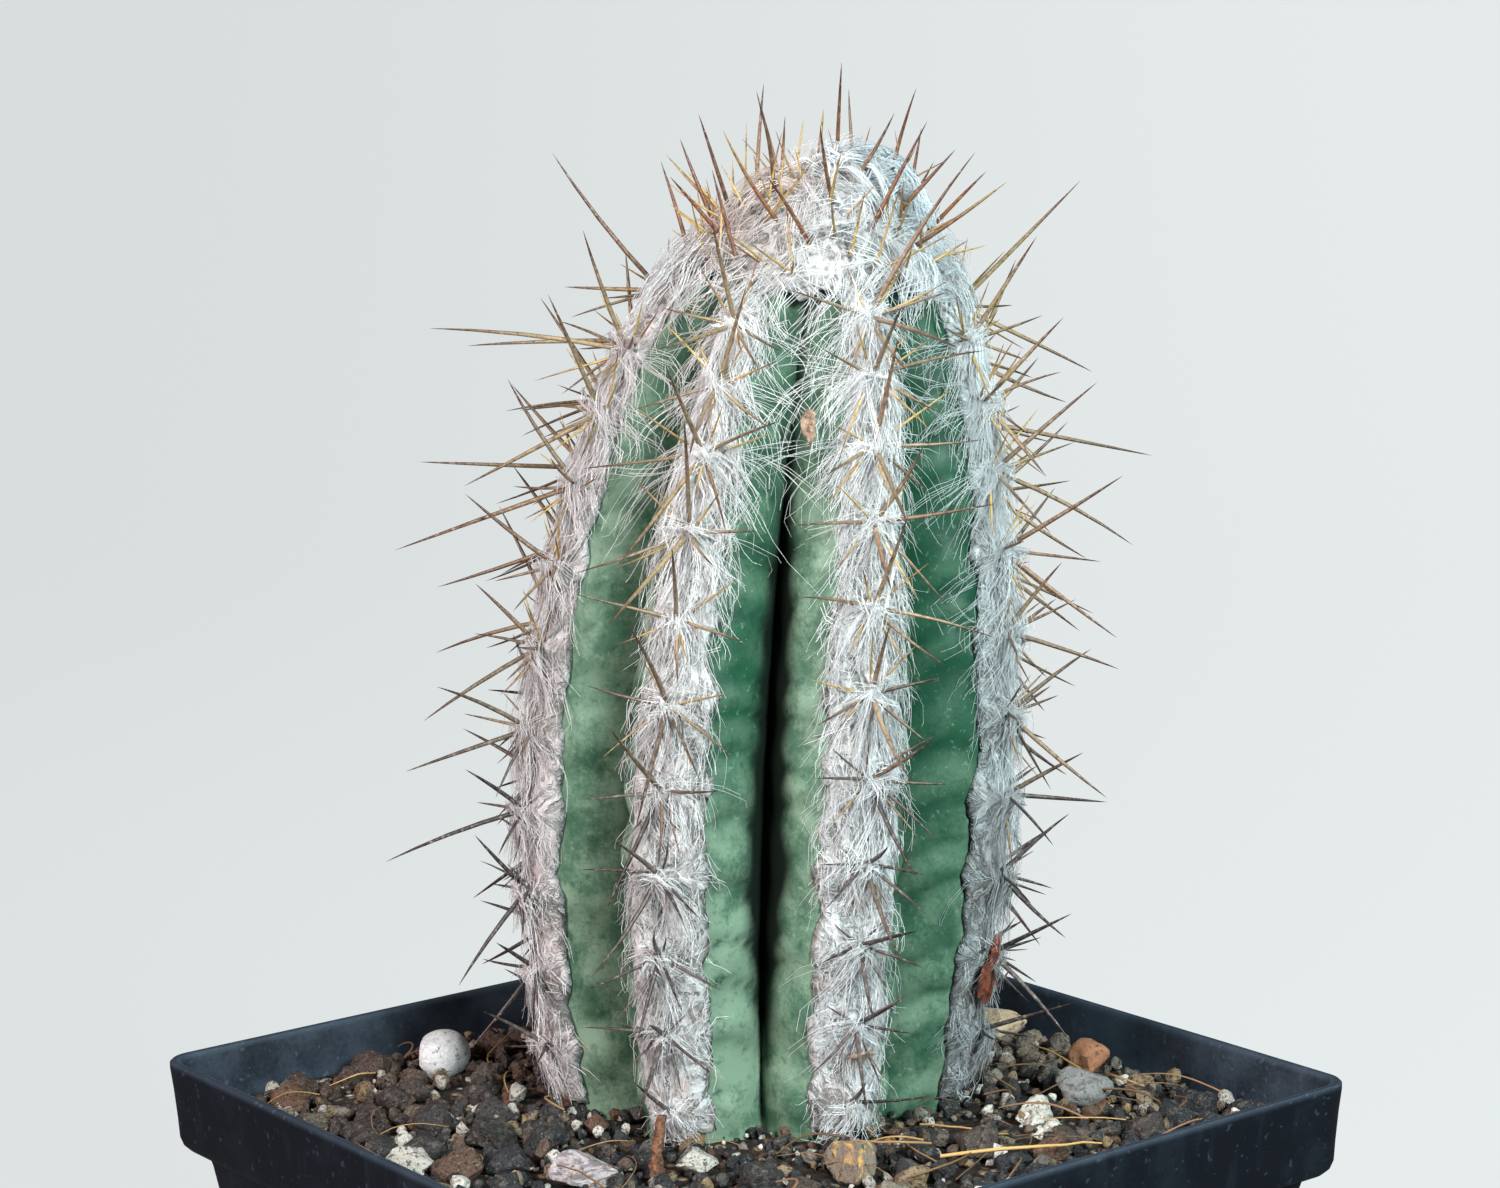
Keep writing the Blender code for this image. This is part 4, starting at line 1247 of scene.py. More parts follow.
class CACTUS_OT_grit(bpy.types.Operator):
    """Makes the pot's filling: a bed of earth, its large grains, and finer ones laid over it"""

    bl_idname = "cactus.grit"
    bl_label = "Grit"

    def execute(self, context):
        look = context.scene.cactus_grit
        self.bed(look)
        self.large_grains()
        tree = scatter_tree()
        area = (COLLAR_FOOT_SIDE - 2 * WALL) ** 2 - math.pi * (22 * MM) ** 2
        sizes = (  # name, how many, moulds and their facets' steps, margin, lift, size, sink, seed
            ("middling", look.middling, 8, 2, 1.6, 0.0, (0.75, 1.8), 0.9, 21),
            ("fine", look.fine, 6, 1, 0.8, -0.5, (0.4, 1.1), 0.5, 52),
        )
        for name, count, kinds, steps, margin, lift, (small, large), sink, seed in sizes:
            moulds = self.moulds(f"moulds_{name}", steps, kinds)
            thing = grown(
                f"grit_{name}",
                self.laying_floor(margin * MM, lift * MM),
                tree,
                Grains=moulds,
                Density=count / area,
                Small=small * MM,
                Large=large * MM,
                Sink=sink * MM,
                Seed=seed,
                Material=bpy.data.materials["grit_grain"],
            )
            settle(thing, "grit", "grit")
            drop_collection(moulds)
        return {"FINISHED"}

    def moulds(self, name, steps, count):
        """Different stones to copy, kept out of the scene's own collection."""
        collection = bpy.data.collections.new(name)
        draw = random.Random(name)
        for number in range(count):
            mesh = rock_mesh(f"{name}_{number}", 40 + number, steps, 9, 0.13)
            mesh.transform(diagonal((1, draw.uniform(0.65, 1), draw.uniform(0.5, 0.85))))
            collection.objects.link(bpy.data.objects.new(mesh.name, mesh))
        return collection

    def laying_floor(self, margin, lift):
        """The grit's surface inside the wall and clear of the stem and the loose stones."""
        reach = COLLAR_FOOT_SIDE / 2 - WALL - GAP - margin
        ticks = np.linspace(-reach, reach, 90)
        x, y = np.meshgrid(ticks, ticks)
        points = np.stack([x, y, grit_level(x, y) + lift], -1)
        flat = points.reshape(-1, 3)
        faces = [
            face
            for face in grid_faces(len(ticks), len(ticks), wrap=False)
            if self.free(*flat[list(face)].mean(0)[:2], margin)
        ]
        return mesh_from("laying_floor", points, faces)

    def free(self, x, y, margin):
        corner = COLLAR_FOOT_SIDE / 2 - CORNER_RADIUS
        past = math.hypot(abs(x) - corner, abs(y) - corner)
        if min(abs(x), abs(y)) > corner and past > CORNER_RADIUS - WALL - margin:
            return False
        near = [(stem_distance(x, y), 18.5 * MM + margin)]
        for (stone_x, stone_y), size, _ in STONES.values():
            away = math.hypot(x - stone_x * MM, y - stone_y * MM)
            near.append((away, min(size[:2]) * MM + margin * 0.3))
        return all(away >= room for away, room in near)

    def bed(self, look):
        """The earth as one block, its top uneven, its sides just inside the pot."""
        inner = WALL + GAP
        columns = 160
        foot = COLLAR_FOOT_SIDE - 0.2 * MM
        levels = (
            (inner, BASE_SIDE - 2.6 * MM),
            (4 * MM, BASE_SIDE + 0.9 * MM),
            (75 * MM, BODY_TOP_SIDE - 0.1 * MM),
            (76.2 * MM, COLLAR_FOOT_SIDE - 0.6 * MM),
            (GRIT_EDGE_LEVEL - 0.6 * MM, foot),
        )
        rings = []
        for height, side in levels:
            flat = self.square(side - 2 * inner, columns)
            rings.append(np.column_stack([flat, np.full(columns, height)]))
        edge = self.square(foot - 2 * inner, columns)
        for share in np.linspace(0.01, 0.8, 30):
            flat = edge * (1 - share) + STEM_FOOT[:2] * share
            rough = value_noise(stacked(*flat.T, 0), 2.4 * MM, 8) * 0.45 * MM
            rings.append(stacked(*flat.T, grit_level(*flat.T) - 1.0 * MM + rough))
        mesh = mesh_from("grit_bed", rings, capped_faces(len(rings), columns))
        settle(new_object("grit_bed", mesh, earth_material(look)), "grit", "grit")

    def square(self, side, count):
        """Points evenly round a square with round corners."""
        angle = ring_angles(count)
        power = 7.0
        reach = (np.abs(np.cos(angle)) ** power + np.abs(np.sin(angle)) ** power) ** (-1 / power)
        return np.column_stack([np.cos(angle), np.sin(angle)]) * (reach * side / 2)[:, None]

    def large_grains(self):
        rocks = [rock_mesh(f"grain_{n}", 70 + n, 3, 14, 0.13) for n in range(12)]
        parts = []
        for number, (x, y, size) in enumerate(grain_places()):
            draw = random.Random(f"{GRIT_SEED} {number}")
            middle = Vector((x, y, grit_level(x, y) + size * draw.uniform(-0.05, 0.25)))
            scale = (size * draw.uniform(0.9, 1.25), size, size * draw.uniform(0.65, 0.9))
            turn = Matrix.Rotation(draw.uniform(0, math.tau), 4, "Z")
            turn = turn @ Matrix.Rotation(draw.uniform(-0.5, 0.5), 4, "X")
            matrix = Matrix.Translation(middle) @ turn @ diagonal(scale)
            parts.append((rocks[number % len(rocks)], matrix, draw.random()))
        grains = new_object("grit_large", joined("grit_large", parts), grain_material())
        settle(grains, "grit", "grit")
        for rock in rocks:
            bpy.data.meshes.remove(rock)


class CACTUS_OT_stones(bpy.types.Operator):
    """Makes the six larger stones that lie loose on the grit"""

    bl_idname = "cactus.stones"
    bl_label = "Loose stones"

    def execute(self, context):
        for number, (name, (place, size, turn)) in enumerate(STONES.items()):
            smooth = name == "pebble_white"
            facets, roughness = (3, 0.03) if smooth else (9, 0.09)
            mesh = rock_mesh(f"{name}_fine", 120 + number, 4, facets, roughness)
            if smooth:
                mesh.shade_smooth()
            x, y = place[0] * MM, place[1] * MM
            middle = Vector((x, y, grit_level(x, y) + size[2] * MM * STONE_RISE))
            spin = Matrix.Rotation(math.radians(turn), 4, "Z")
            stretch = diagonal(length * 1.06 * MM for length in size)
            mesh.transform(Matrix.Translation(middle) @ spin @ stretch)
            material = stone_material(f"{name}_face", *STONE_FINISHES[name])
            settle(new_object(f"{name}_fine", mesh, material), name, name)
        return {"FINISHED"}


class CACTUS_OT_stem(bpy.types.Operator):
    """Makes the ribbed stem with its creased flanks"""

    bl_idname = "cactus.stem"
    bl_label = "Stem"

    def execute(self, context):
        look = context.scene.cactus_stem
        turns = np.linspace(-math.pi / 2, math.pi / 2, STEM_POINTS + 1)[:-1]
        places = np.sin(turns) * 0.35 + np.linspace(-1, 1, STEM_POINTS + 1)[:-1] * 0.65
        angles = (rib_angle(np.arange(RIBS)[:, None], places[None, :])).ravel()
        alongs = (
            np.linspace(STEM_BOTTOM, -0.5 * MM, 16),
            np.arange(0, WOOL_END, STEM_STEP),
            STEM_TOP - (STEM_TOP - 97.2 * MM) * (1 - np.linspace(0, 0.985, 16)) ** 1.2,
        )
        angle, along = np.meshgrid(angles, np.concatenate(alongs))
        here, normal, _, _ = stem_frame(angle, along)
        rib, place = across_rib(angle)
        flank = np.abs(place)
        side = np.sign(place)
        tide = np.stack([along, rib * 40 * MM + side * 15 * MM, flank * 3 * MM], -1)
        rough = value_noise(tide, 2.9 * MM, 31) + 0.5 * value_noise(tide, 1.5 * MM, 32)
        curved = 0.3 * ((flank - 0.55) / 0.25) ** 2 - 0.4 * flank
        wave = along / (6.1 * MM) + 0.6 * value_noise(tide, 9 * MM, 34) + curved
        swell = np.abs(np.sin(math.pi * wave))
        # Painted shade in the creases between the bulges.
        crease = (1 - swell) ** 2.4 * np.clip(0.8 + value_noise(tide, 5 * MM, 35), 0, 1)
        room = np.clip((flank - 0.3) / 0.15, 0, 1) * np.clip((1.02 - flank) / 0.2, 0, 1)
        strength = np.ones_like(flank)
        bloomed = np.zeros_like(flank)
        # The furrow attribute places the black painted shade deep in each furrow.
        furrow = np.zeros_like(flank)
        rising = np.interp(along / MM, *zip(*FURROW_SHADE_RISE))
        draw = random.Random("bloom")
        for flank_key in ((number, hand) for number in range(RIBS) for hand in (-1, 1)):
            chosen = (rib == flank_key[0]) & (side == flank_key[1])
            levels = FLANK_BLOOM_AND_LIGHT.get(flank_key, [draw.uniform(0.1, 0.8) for _ in range(3)])
            bloomed = np.where(chosen, np.interp(along / MM, LEVEL_HEIGHTS, levels), bloomed)
            start = FURROW_SHADE_FROM.get(flank_key, FURROW_SHADE_ELSEWHERE)
            furrow = np.where(chosen, flank - start - rising, furrow)
            strength = np.where(chosen, CREASED.get(flank_key, 1), strength)
        relief = look.wrinkle * (0.3 * rough + (1.5 * swell**0.6 - 1.0) * strength) * room
        lumps = value_noise(here, 7 * MM, 33) * 0.25 * MM * np.clip((1 - flank) / 0.3, 0, 1)
        fade = np.clip((STEM_TOP - along) / (10 * MM), 0, 1)
        points = here + normal * ((relief + lumps) * fade)[..., None]
        mesh = mesh_from("stem_body", points, capped_faces(*flank.shape))
        # Painted shadow: a dark line along the wool's edge, where the mat shades the flank.
        shadow = 0.7 * np.exp(-(((flank - 0.47) / 0.035) ** 2)) * np.clip(0.7 + rough, 0, 1)
        store(mesh, "flank", flank)
        store(mesh, "crease", np.clip(crease * strength + 0.25 * rough + shadow, 0, 1) * room)
        # Painted highlight on the tops of the bulges, painted shade in the creases between them.
        store(mesh, "bloomed", bloomed + 0.3 * (swell - 0.5) * room * strength)
        store(mesh, "furrow", furrow - 0.05 * swell)
        settle(new_object("stem_body", mesh, skin_material(look)), "stem_skin", "stem")
        return {"FINISHED"}


class Mat:
    """The matted wool along one rib, as thickness over the stem."""

    def __init__(self, rib):
        self.rib = rib
        self.spots = areoles(rib)
        self.light_tint = np.array(WOOL_LIGHT_TINT.get(rib, (1, 1, 1)))
        self.edges = np.concatenate([[WOOL_START - 6 * MM], self.spots, [WOOL_END + 2 * MM]])

    def opening(self, along):
        """0 at an areole, 1 midway between two, where the locks lie furthest apart."""
        number = np.searchsorted(self.edges, along, side="right")
        number = np.clip(number, 1, len(self.edges) - 1)
        low, high = self.edges[number - 1], self.edges[number]
        return np.sin(math.pi * np.clip((high - along) / (high - low), 0, 1)) ** 0.8

    def ragged(self, along, side, spacing):
        """Places for noise that differs from rib to rib and from side to side."""
        return stacked(along, 0, (self.rib * 2 + side) * spacing)

    def reach(self, along, side):
        """How far across the rib the mat goes, as a share of the way to the furrow."""
        ragged = self.ragged(along, side, 40 * MM)
        frayed = value_noise(ragged, 2.6 * MM, 61) * 0.06 + value_noise(ragged, 0.8 * MM, 62) * 0.02
        narrow = np.clip((along - 30 * MM) / (55 * MM), 0, 1) * 0.15
        return 0.49 - 0.07 * self.opening(along) - narrow + frayed

    def lift(self, along, place):
        """Height of the loose wool over the stem at a place across the rib, 0 on its crest."""
        share = np.abs(place) / self.reach(along, (place > 0) * 1)
        opening = self.opening(along)
        arch = np.maximum(1 - share**2, 0) ** 0.85
        pit = opening**2 * np.exp(-((share / 0.3) ** 2))
        return (0.3 + (2.2 - 0.7 * opening) * arch * (1 - 0.5 * pit)) * MM

    # The wool's brightness along a rib: its own tone with painted light and shade.
    def tone(self, along):
        levels = WOOL_SHADE_AND_TONE.get(self.rib, WOOL_SHADE_AND_TONE_ELSEWHERE)
        return np.interp(np.asarray(along) / MM, LEVEL_HEIGHTS, levels)

    def mesh(self):
        """A closed strip over the crest, with the flow of its fibres stored on it."""
        alongs = np.arange(WOOL_START, WOOL_END, 0.72 * MM)
        arch = np.linspace(-1, 1, 13)
        share = np.concatenate([arch, arch[::-1][1:-1]])
        under = np.concatenate([np.zeros(13, bool), np.ones(11, bool)])
        along, share = np.meshgrid(alongs, share, indexing="ij")
        place = share * self.reach(along, (share > 0) * 1) * 0.999
        here, normal, _, _ = stem_frame(rib_angle(self.rib, place), along)
        fluff = value_noise(here * (1, 1, 0.3), 0.9 * MM, 63) * 0.15 * MM
        fluff += value_noise(here * (1, 1, 0.4), 2.4 * MM, 64) * 0.2 * MM
        lift = self.lift(along, place) * 0.68 + fluff * np.clip(2 - 2 * np.abs(share), 0, 1)
        lift = np.where(under, MAT_UNDERSIDE, np.maximum(lift, MAT_EDGE))
        mesh = mesh_from("wool_mat", here + normal * lift[..., None], capped_faces(*share.shape))
        opening = self.opening(along)
        across = place * half_rib(along) / (0.55 + 0.55 * opening)
        store(mesh, "flow", stacked(across, along, self.rib * 0.1), "FLOAT_VECTOR")
        store(mesh, "age", age_at(along))
        # Painted light and shade with the wool's tone, for the mat's colour.
        bright = self.tone(along)[..., None] * self.light_tint * 0.9
        store(mesh, "brightness", bright, "FLOAT_VECTOR")
        # Painted shade where the mat dips midway between areoles.
        store(mesh, "hollow", np.where(under, 0, opening**2 * np.exp(-((share / 0.25) ** 2))))
        return mesh


class CACTUS_OT_wool(bpy.types.Operator):
    """Makes the wool: a matted layer over each rib's crest, and locks of hair from each areole"""

    bl_idname = "cactus.wool"
    bl_label = "Wool"

    def execute(self, context):
        look = context.scene.cactus_wool
        matted = mat_material(look)
        silk = hair_material("wool_silk")
        tree = strand_tree()
        for part in (*range(1, RIBS + 1), "crown"):
            crown = part == "crown"
            layer = None if crown else Mat(part - 1)
            mat = self.crown_mat() if crown else layer.mesh()
            mat = new_object(f"wool_mat_{part}", mat, matted)
            locks = self.crown_locks(look) if crown else self.rib_locks(layer, look)
            name = f"wool_hair_{part}"
            hair = grown(
                name,
                locks.mesh("locks"),
                tree,
                Sides=3,
                Fan=0.7 if crown else 1.0,
                Frizz=look.frizz,
                Curl=4.5 * MM,
                Shortest=0.5,
                Seed=sum(map(ord, name)),
                Material=silk,
            )
            for thing in (mat, hair):
                settle(thing, "wool", "wool_crown" if crown else f"wool_rib_{part}")
        return {"FINISHED"}

    def crown_depth(self, here):
        """Thickness of the crown's wool over a point of the stem: a tuft stands right of the apex."""
        middle = stem_frame(np.array(0.0), np.array(STEM_TOP), ribbed=False)[0]
        gone = here - middle - VIEW_RIGHT * 3.6 * MM
        tuft = np.exp(-(gone[..., :2] ** 2).sum(-1) / (5.5 * MM) ** 2) * 3.6 * MM
        left = np.clip(-(here - middle) @ VIEW_RIGHT / (12 * MM), 0, 1) * 0.7 * MM
        return CROWN_WOOL + tuft - left

    def crown_mat(self):
        """A closed cap over the apex, its ragged edge reaching down over each rib."""
        columns = 96
        angle = ring_angles(columns)
        _, place = across_rib(angle)
        rim = stacked(np.cos(angle), np.sin(angle), 0) * 20 * MM
        start = CROWN_START - 3.0 * MM * (1 - np.abs(place)) - 0.6 * MM * np.abs(place)
        start = start + value_noise(rim, 2.5 * MM, 68) * 2.2 * MM
        share = np.linspace(0, 0.985, 22)[:, None]
        along = start + share * (STEM_TOP - start)
        here, normal, _, _ = stem_frame(angle, along, ribbed=False)
        tufts = value_noise(here, 3.0 * MM, 66) * 0.6 + value_noise(here, 1.1 * MM, 67) * 0.15
        thick = (self.crown_depth(here) + tufts * MM) * np.minimum(1, 0.03 + share * 1.9)
        outer = here + normal * np.maximum(thick, 0.35 * MM)[..., None]
        inner = (here + normal * 0.28 * MM)[::-1]
        points = np.concatenate([inner, outer])
        mesh = mesh_from("wool_mat_crown", points, capped_faces(len(points), columns))
        flow = stacked(angle * 9 * MM, along + tufts * MM, 0)
        store(mesh, "flow", np.concatenate([flow[::-1], flow]), "FLOAT_VECTOR")
        # Painted light and shade: the cap is brighter in its middle and tinted pinkish on the left,
        # bluish on the right, and its age is set lower on the left, greying it there as shade.
        rightward = np.clip(0.5 + (points - points[-1].mean(0)) @ VIEW_RIGHT / (24 * MM), 0, 1)
        store(mesh, "age", 0.45 + 0.45 * rightward)
        bright = (0.52 + 0.18 * np.sin(math.pi * rightward))[..., None]
        light_tint = blend(LEFT_MAT_LIGHT_TINT, RIGHT_MAT_LIGHT_TINT, rightward[..., None])
        store(mesh, "brightness", bright * light_tint, "FLOAT_VECTOR")
        # Painted shade in gaps among the cap's tufts.
        store(mesh, "hollow", np.clip(value_noise(points, 2.4 * MM, 69) * 1.2, 0, 1))
        return mesh

    def strewn(self, draw, layer, starts, headings, lengths, peaks, steps, webbed=False):
        """Hair paths from starts (x across, along), each heading turned from straight down the rib.

        A hair lifts off the mat to its peak and falls back, and its heading droops on the way.
        """

        def drawn(low, high):
            return draw.uniform(low, high, (len(starts), 1))

        share = np.linspace(0, 1, steps)
        droop = drawn(1.1, 3.0)
        wave = drawn(0, math.tau) + share * drawn(2, 7)
        if webbed:
            droop = droop * 0.45
        returning = (drawn(0, 1) < 0.65) * (not webbed)
        bend = (1 - share) ** droop * (1 - returning) + (1 - 1.75 * share) * returning
        sway = (np.sin(wave) + draw.normal(size=(len(starts), 1)) * 0.6) * 0.52 * share**0.5
        heading = (headings[:, None] * bend + sway)[:, :-1]
        stride = lengths[:, None] / (steps - 1)
        across, down = (
            np.cumsum(np.pad(part * stride, ((0, 0), (1, 0))), 1)
            for part in (np.sin(heading), np.cos(heading))
        )
        along = np.maximum(starts[:, 1:] - down, 0.2 * MM)
        farthest = 2 if webbed else 0.8
        place = np.clip((starts[:, :1] + across) / half_rib(along), -farthest, farthest)
        rise = np.sin(math.pi * share**0.7) * peaks[:, None] - 0.25 * MM * (1 - share)
        rise = rise + drawn(0.05, 0.6) * MM * share
        if webbed:
            rise = rise + (1.2 - 2.4 * np.sin(math.pi / 2 * np.abs(place))) * MM
        else:
            rise = layer.lift(along, place) + rise
        return lifted(rib_angle(layer.rib, place), along, rise, ribbed=not webbed)

    def rib_locks(self, layer, look):
        """Guide lines for a rib: locks from each areole, short hairs over the mat, and its fringes."""
        draw = np.random.default_rng(300 + layer.rib)
        guides = Guides()
        for spot in layer.spots:
            self.areole_locks(draw, layer, look, spot, guides)
        self.short_hairs(draw, layer, look, guides)
        for side in (-1, 1):
            self.fringe(draw, layer, look, side, guides)
        return guides

    def areole_locks(self, draw, layer, look, spot, guides):
        """Locks, veils and strays from one areole, and near the crown webs across the furrow."""
        age = float(age_at(spot))
        vigour = draw.uniform(0.78, 1.2)
        for kind in LOCKS + WEBS * bool(spot > 74 * MM):
            lines, copies, steps, turns, spans, heights, room, width = kind
            lines = round(lines * (0.75 + 0.4 * age - 0.35 * (turns[0] > 20) * (1 - age)))
            hand = np.where(np.arange(lines) % 2, 1, -1)
            heading = np.radians(draw.uniform(*turns, lines)) * hand
            length = draw.uniform(*spans, lines) * MM * (0.8 + 0.35 * age) * vigour
            peak = draw.uniform(*heights, lines) * MM * (0.7 + 0.4 * age) * vigour
            start = draw.normal(size=(lines, 2)) * 0.6 * MM + (0, spot)
            paths = self.strewn(draw, layer, start, heading, length, peak, steps, kind in WEBS)
            share = np.linspace(0, 1, steps)
            girth = look.width / 2 * width * (1 - 0.65 * share**2)
            parting = (0.45 + 0.6 * share) * room * MM * 0.7
            # Painted light and shade from the rib's brightness and tinting.
            colour = self.colour(look, age, draw, lines) * layer.tone(spot) * layer.light_tint
            guides.add(paths, colour, girth, parting, copies)

    def short_hairs(self, draw, layer, look, guides):
        """Short hairs lying every way over the mat."""
        count = 14 * len(layer.spots)
        along = draw.uniform(2 * MM, WOOL_END, count)
        start = np.stack([draw.uniform(-0.42, 0.42, count) * half_rib(along), along], -1)
        heading = draw.normal(size=count) * 0.9
        length = draw.uniform(2.5, 6.0, count) * MM
        peak = draw.uniform(0.0, 0.7, count) * MM
        paths = self.strewn(draw, layer, start, heading, length, peak, 4)
        girth = look.width / 2 * 0.85 * np.array([0.7, 1, 0.8, 0.4])
        colour = self.colour(look, age_at(along)[:, None, None], draw, count)
        # Painted light and shade from the rib's brightness and tinting.
        colour = colour * layer.tone(along)[:, None, None] * layer.light_tint
        guides.add(paths, colour, girth, 0.8 * MM, 3)

    def fringe(self, draw, layer, look, side, guides):
        """Hair hanging from one edge of the mat, thickest where the flank is veiled."""
        veiled = (layer.rib, side) in VEILED
        tries = 170 if veiled else 90
        along = draw.uniform(1.5 * MM, WOOL_END, tries)
        patches = value_noise(layer.ragged(along, side, 30 * MM), 6 * MM, 65)
        thick = 0.3 + 0.2 * age_at(along) + 0.4 * patches
        if veiled:
            thick = thick + 0.6 * np.exp(-(((along - 72 * MM) / (16 * MM)) ** 2))
        along = along[draw.uniform(0, 1, tries) < thick]
        age, count = age_at(along), len(along)
        edge = layer.reach(along, (side > 0) * 1) * draw.uniform(0.55, 0.95, count)
        start = np.stack([side * edge * half_rib(along), along], -1)
        heading = np.radians(draw.uniform(-16, 6, count) + 30 * age) * side
        length = draw.uniform(3.0, 9.5, count) * MM * (0.3 + 0.9 * age)
        peak = draw.uniform(0.1, 1.1, count) * MM * (0.3 + 0.8 * age)
        paths = self.strewn(draw, layer, start, heading, length, peak, 6)
        girth = look.width / 2 * 0.6 * np.array([1, 1, 0.9, 0.8, 0.6, 0.4])
        # Painted light from the rib's tinting.
        colour = self.colour(look, age[:, None, None], draw, count) * 0.85 * layer.light_tint
        guides.add(paths, colour, girth, (0.6 + 0.9 * np.linspace(0, 1, 6)) * MM, 4)

    def colour(self, look, age, draw, count):
        """White near the crown, greyer and here and there brownish near the grit."""
        grey = blend(np.array(look.old), np.array(look.young), age)
        brown = (draw.uniform(0, 1, (count, 1, 1)) > 0.88) * (1 - age) * 0.5
        grey = blend(grey, np.array((0.42, 0.30, 0.22)), brown)
        return grey * draw.uniform(0.78, 1.18, (count, 1, 1))

    def crown_locks(self, look):
        """Guide lines over the crown: tufts that stand about the apex and sweep down and round."""
        draw = np.random.default_rng(77)
        guides = Guides()
        for lines, copies, steps, spans, heights, down, wander, room, width in CROWN_LOCKS:
            share = np.linspace(0, 1, steps)
            angle = draw.uniform(0, math.tau, lines)
            # Painted light: hairs are tinted pinkish on the left and bluish on the right, and brighter
            # between.
            cool = stacked(np.cos(angle), np.sin(angle)) @ VIEW_RIGHT[:2]
            cool = 0.5 + 0.5 * cool[:, None, None]
            light_tint = blend(LEFT_LIGHT_TINT, RIGHT_LIGHT_TINT, cool) * (1 + 1.4 * cool * (1 - cool))
            depth = STEM_TOP - CROWN_START + 3 * MM
            start = STEM_TOP - 1.0 * MM - draw.uniform(0, 1, lines) ** 0.75 * depth * down
            heading = np.radians(draw.normal(size=lines) * wander)[:, None]
            stride = draw.uniform(*spans, lines)[:, None] * MM / (steps - 1) * np.arange(steps)
            bend = heading + draw.normal(size=(lines, 1)) * 0.6 * share
            along = start[:, None] - stride * np.cos(bend)
            turn = angle[:, None] + stride * np.sin(bend) / np.maximum(crest_radius(along), 5 * MM)
            peak = draw.uniform(*heights, (lines, 1)) * MM
            low = np.interp(along, (CROWN_START - 6 * MM, CROWN_START), (0.5 * MM, 1.5 * MM))
            here = stem_frame(turn, along, ribbed=False)[0]
            lift = low + peak * np.sin(math.pi * share**0.7) + self.crown_depth(here) - CROWN_WOOL
            paths = lifted(turn, along, lift, ribbed=False)
            girth = look.width / 2 * width * (1 - 0.65 * share**2)
            parting = (0.3 + 0.7 * share) * room * MM * 0.7
            guides.add(paths, self.colour(look, 1.0, draw, lines) * light_tint, girth, parting, copies)
        self.crown_fringe(draw, look, guides)
        return guides

    def crown_fringe(self, draw, look, guides, count=190):
        """Hairs that hang from the edge of the cap over the furrows."""
        share = np.linspace(0, 1, 5)
        angle = draw.uniform(0, math.tau, count)[:, None]
        start = CROWN_START + draw.uniform(-1.5, 5.0, (count, 1)) * MM
        along = start - draw.uniform(4.0, 11.0, (count, 1)) * MM * share
        sway = draw.normal(size=(count, 1)) * 0.22 * share
        turn = angle + sway + 0.06 * np.sin(share * draw.uniform(2, 8, (count, 1)))
        _, place = across_rib(turn)
        lift = (1.8 - 2.6 * np.abs(place) * share + 0.8 * np.sin(math.pi * share)) * MM
        paths = lifted(turn, along, lift, ribbed=False)
        girth = look.width / 2 * 0.8 * (1 - 0.6 * share**2)
        guides.add(paths, self.colour(look, 1.0, draw, count) * 0.8, girth, 0.9 * MM, 5)


class Needles:
    """Places spines so that none of them passes through another."""

    def __init__(self):
        self.feet = np.empty((0, 3))
        self.tips = np.empty((0, 3))
        self.homes = []

    def nearest(self, foot, tip, home):
        others = [i for i, other in enumerate(self.homes) if other != home]
        if not others:
            return math.inf
        a, b = self.feet[others], self.tips[others]
        run = b - a
        nearest = math.inf
        for sample in np.linspace(foot, tip, 22):
            share = np.clip(((sample - a) * run).sum(1) / (run * run).sum(1), 0, 1)
            distance = np.linalg.norm(a + run * share[:, None] - sample, axis=1).min()
            nearest = min(nearest, distance)
        return nearest

    def fits(self, foot, tip, home):
        """Whether a spine stays clear of the others, which then keep clear of it too."""
        if self.nearest(foot, tip, home) <= SPINE_CLEARANCE:
            return False
        self.feet = np.vstack([self.feet, foot])
        self.tips = np.vstack([self.tips, tip])
        self.homes.append(home)
        return True


def aim(normal, up, side, turn, rise):
    turn, rise = math.radians(turn), math.radians(rise)
    level = up * math.cos(turn) + side * math.sin(turn)
    return unit(level * math.cos(rise) + normal * math.sin(rise))


def long_name(rib, number):
    """Which of an areole's spines its long one stands in for."""
    turn = LONG_SPINES.get((rib, number), (None,))[0]
    if turn is None:
        return None
    return "lower" if abs(turn) > 90 else "upper"


def allowed(tip):
    """Whether a spine's tip is well above the grit and the pot's rim."""
    if tip[2] < grit_level(tip[0], tip[1]) + TIP_OVER_GRIT:
        return False
    over_wall = max(abs(tip[0]), abs(tip[1])) > RIM_SIDE / 2 - 5 * MM
    return not (over_wall and tip[2] < POT_HEIGHT + TIP_OVER_RIM)


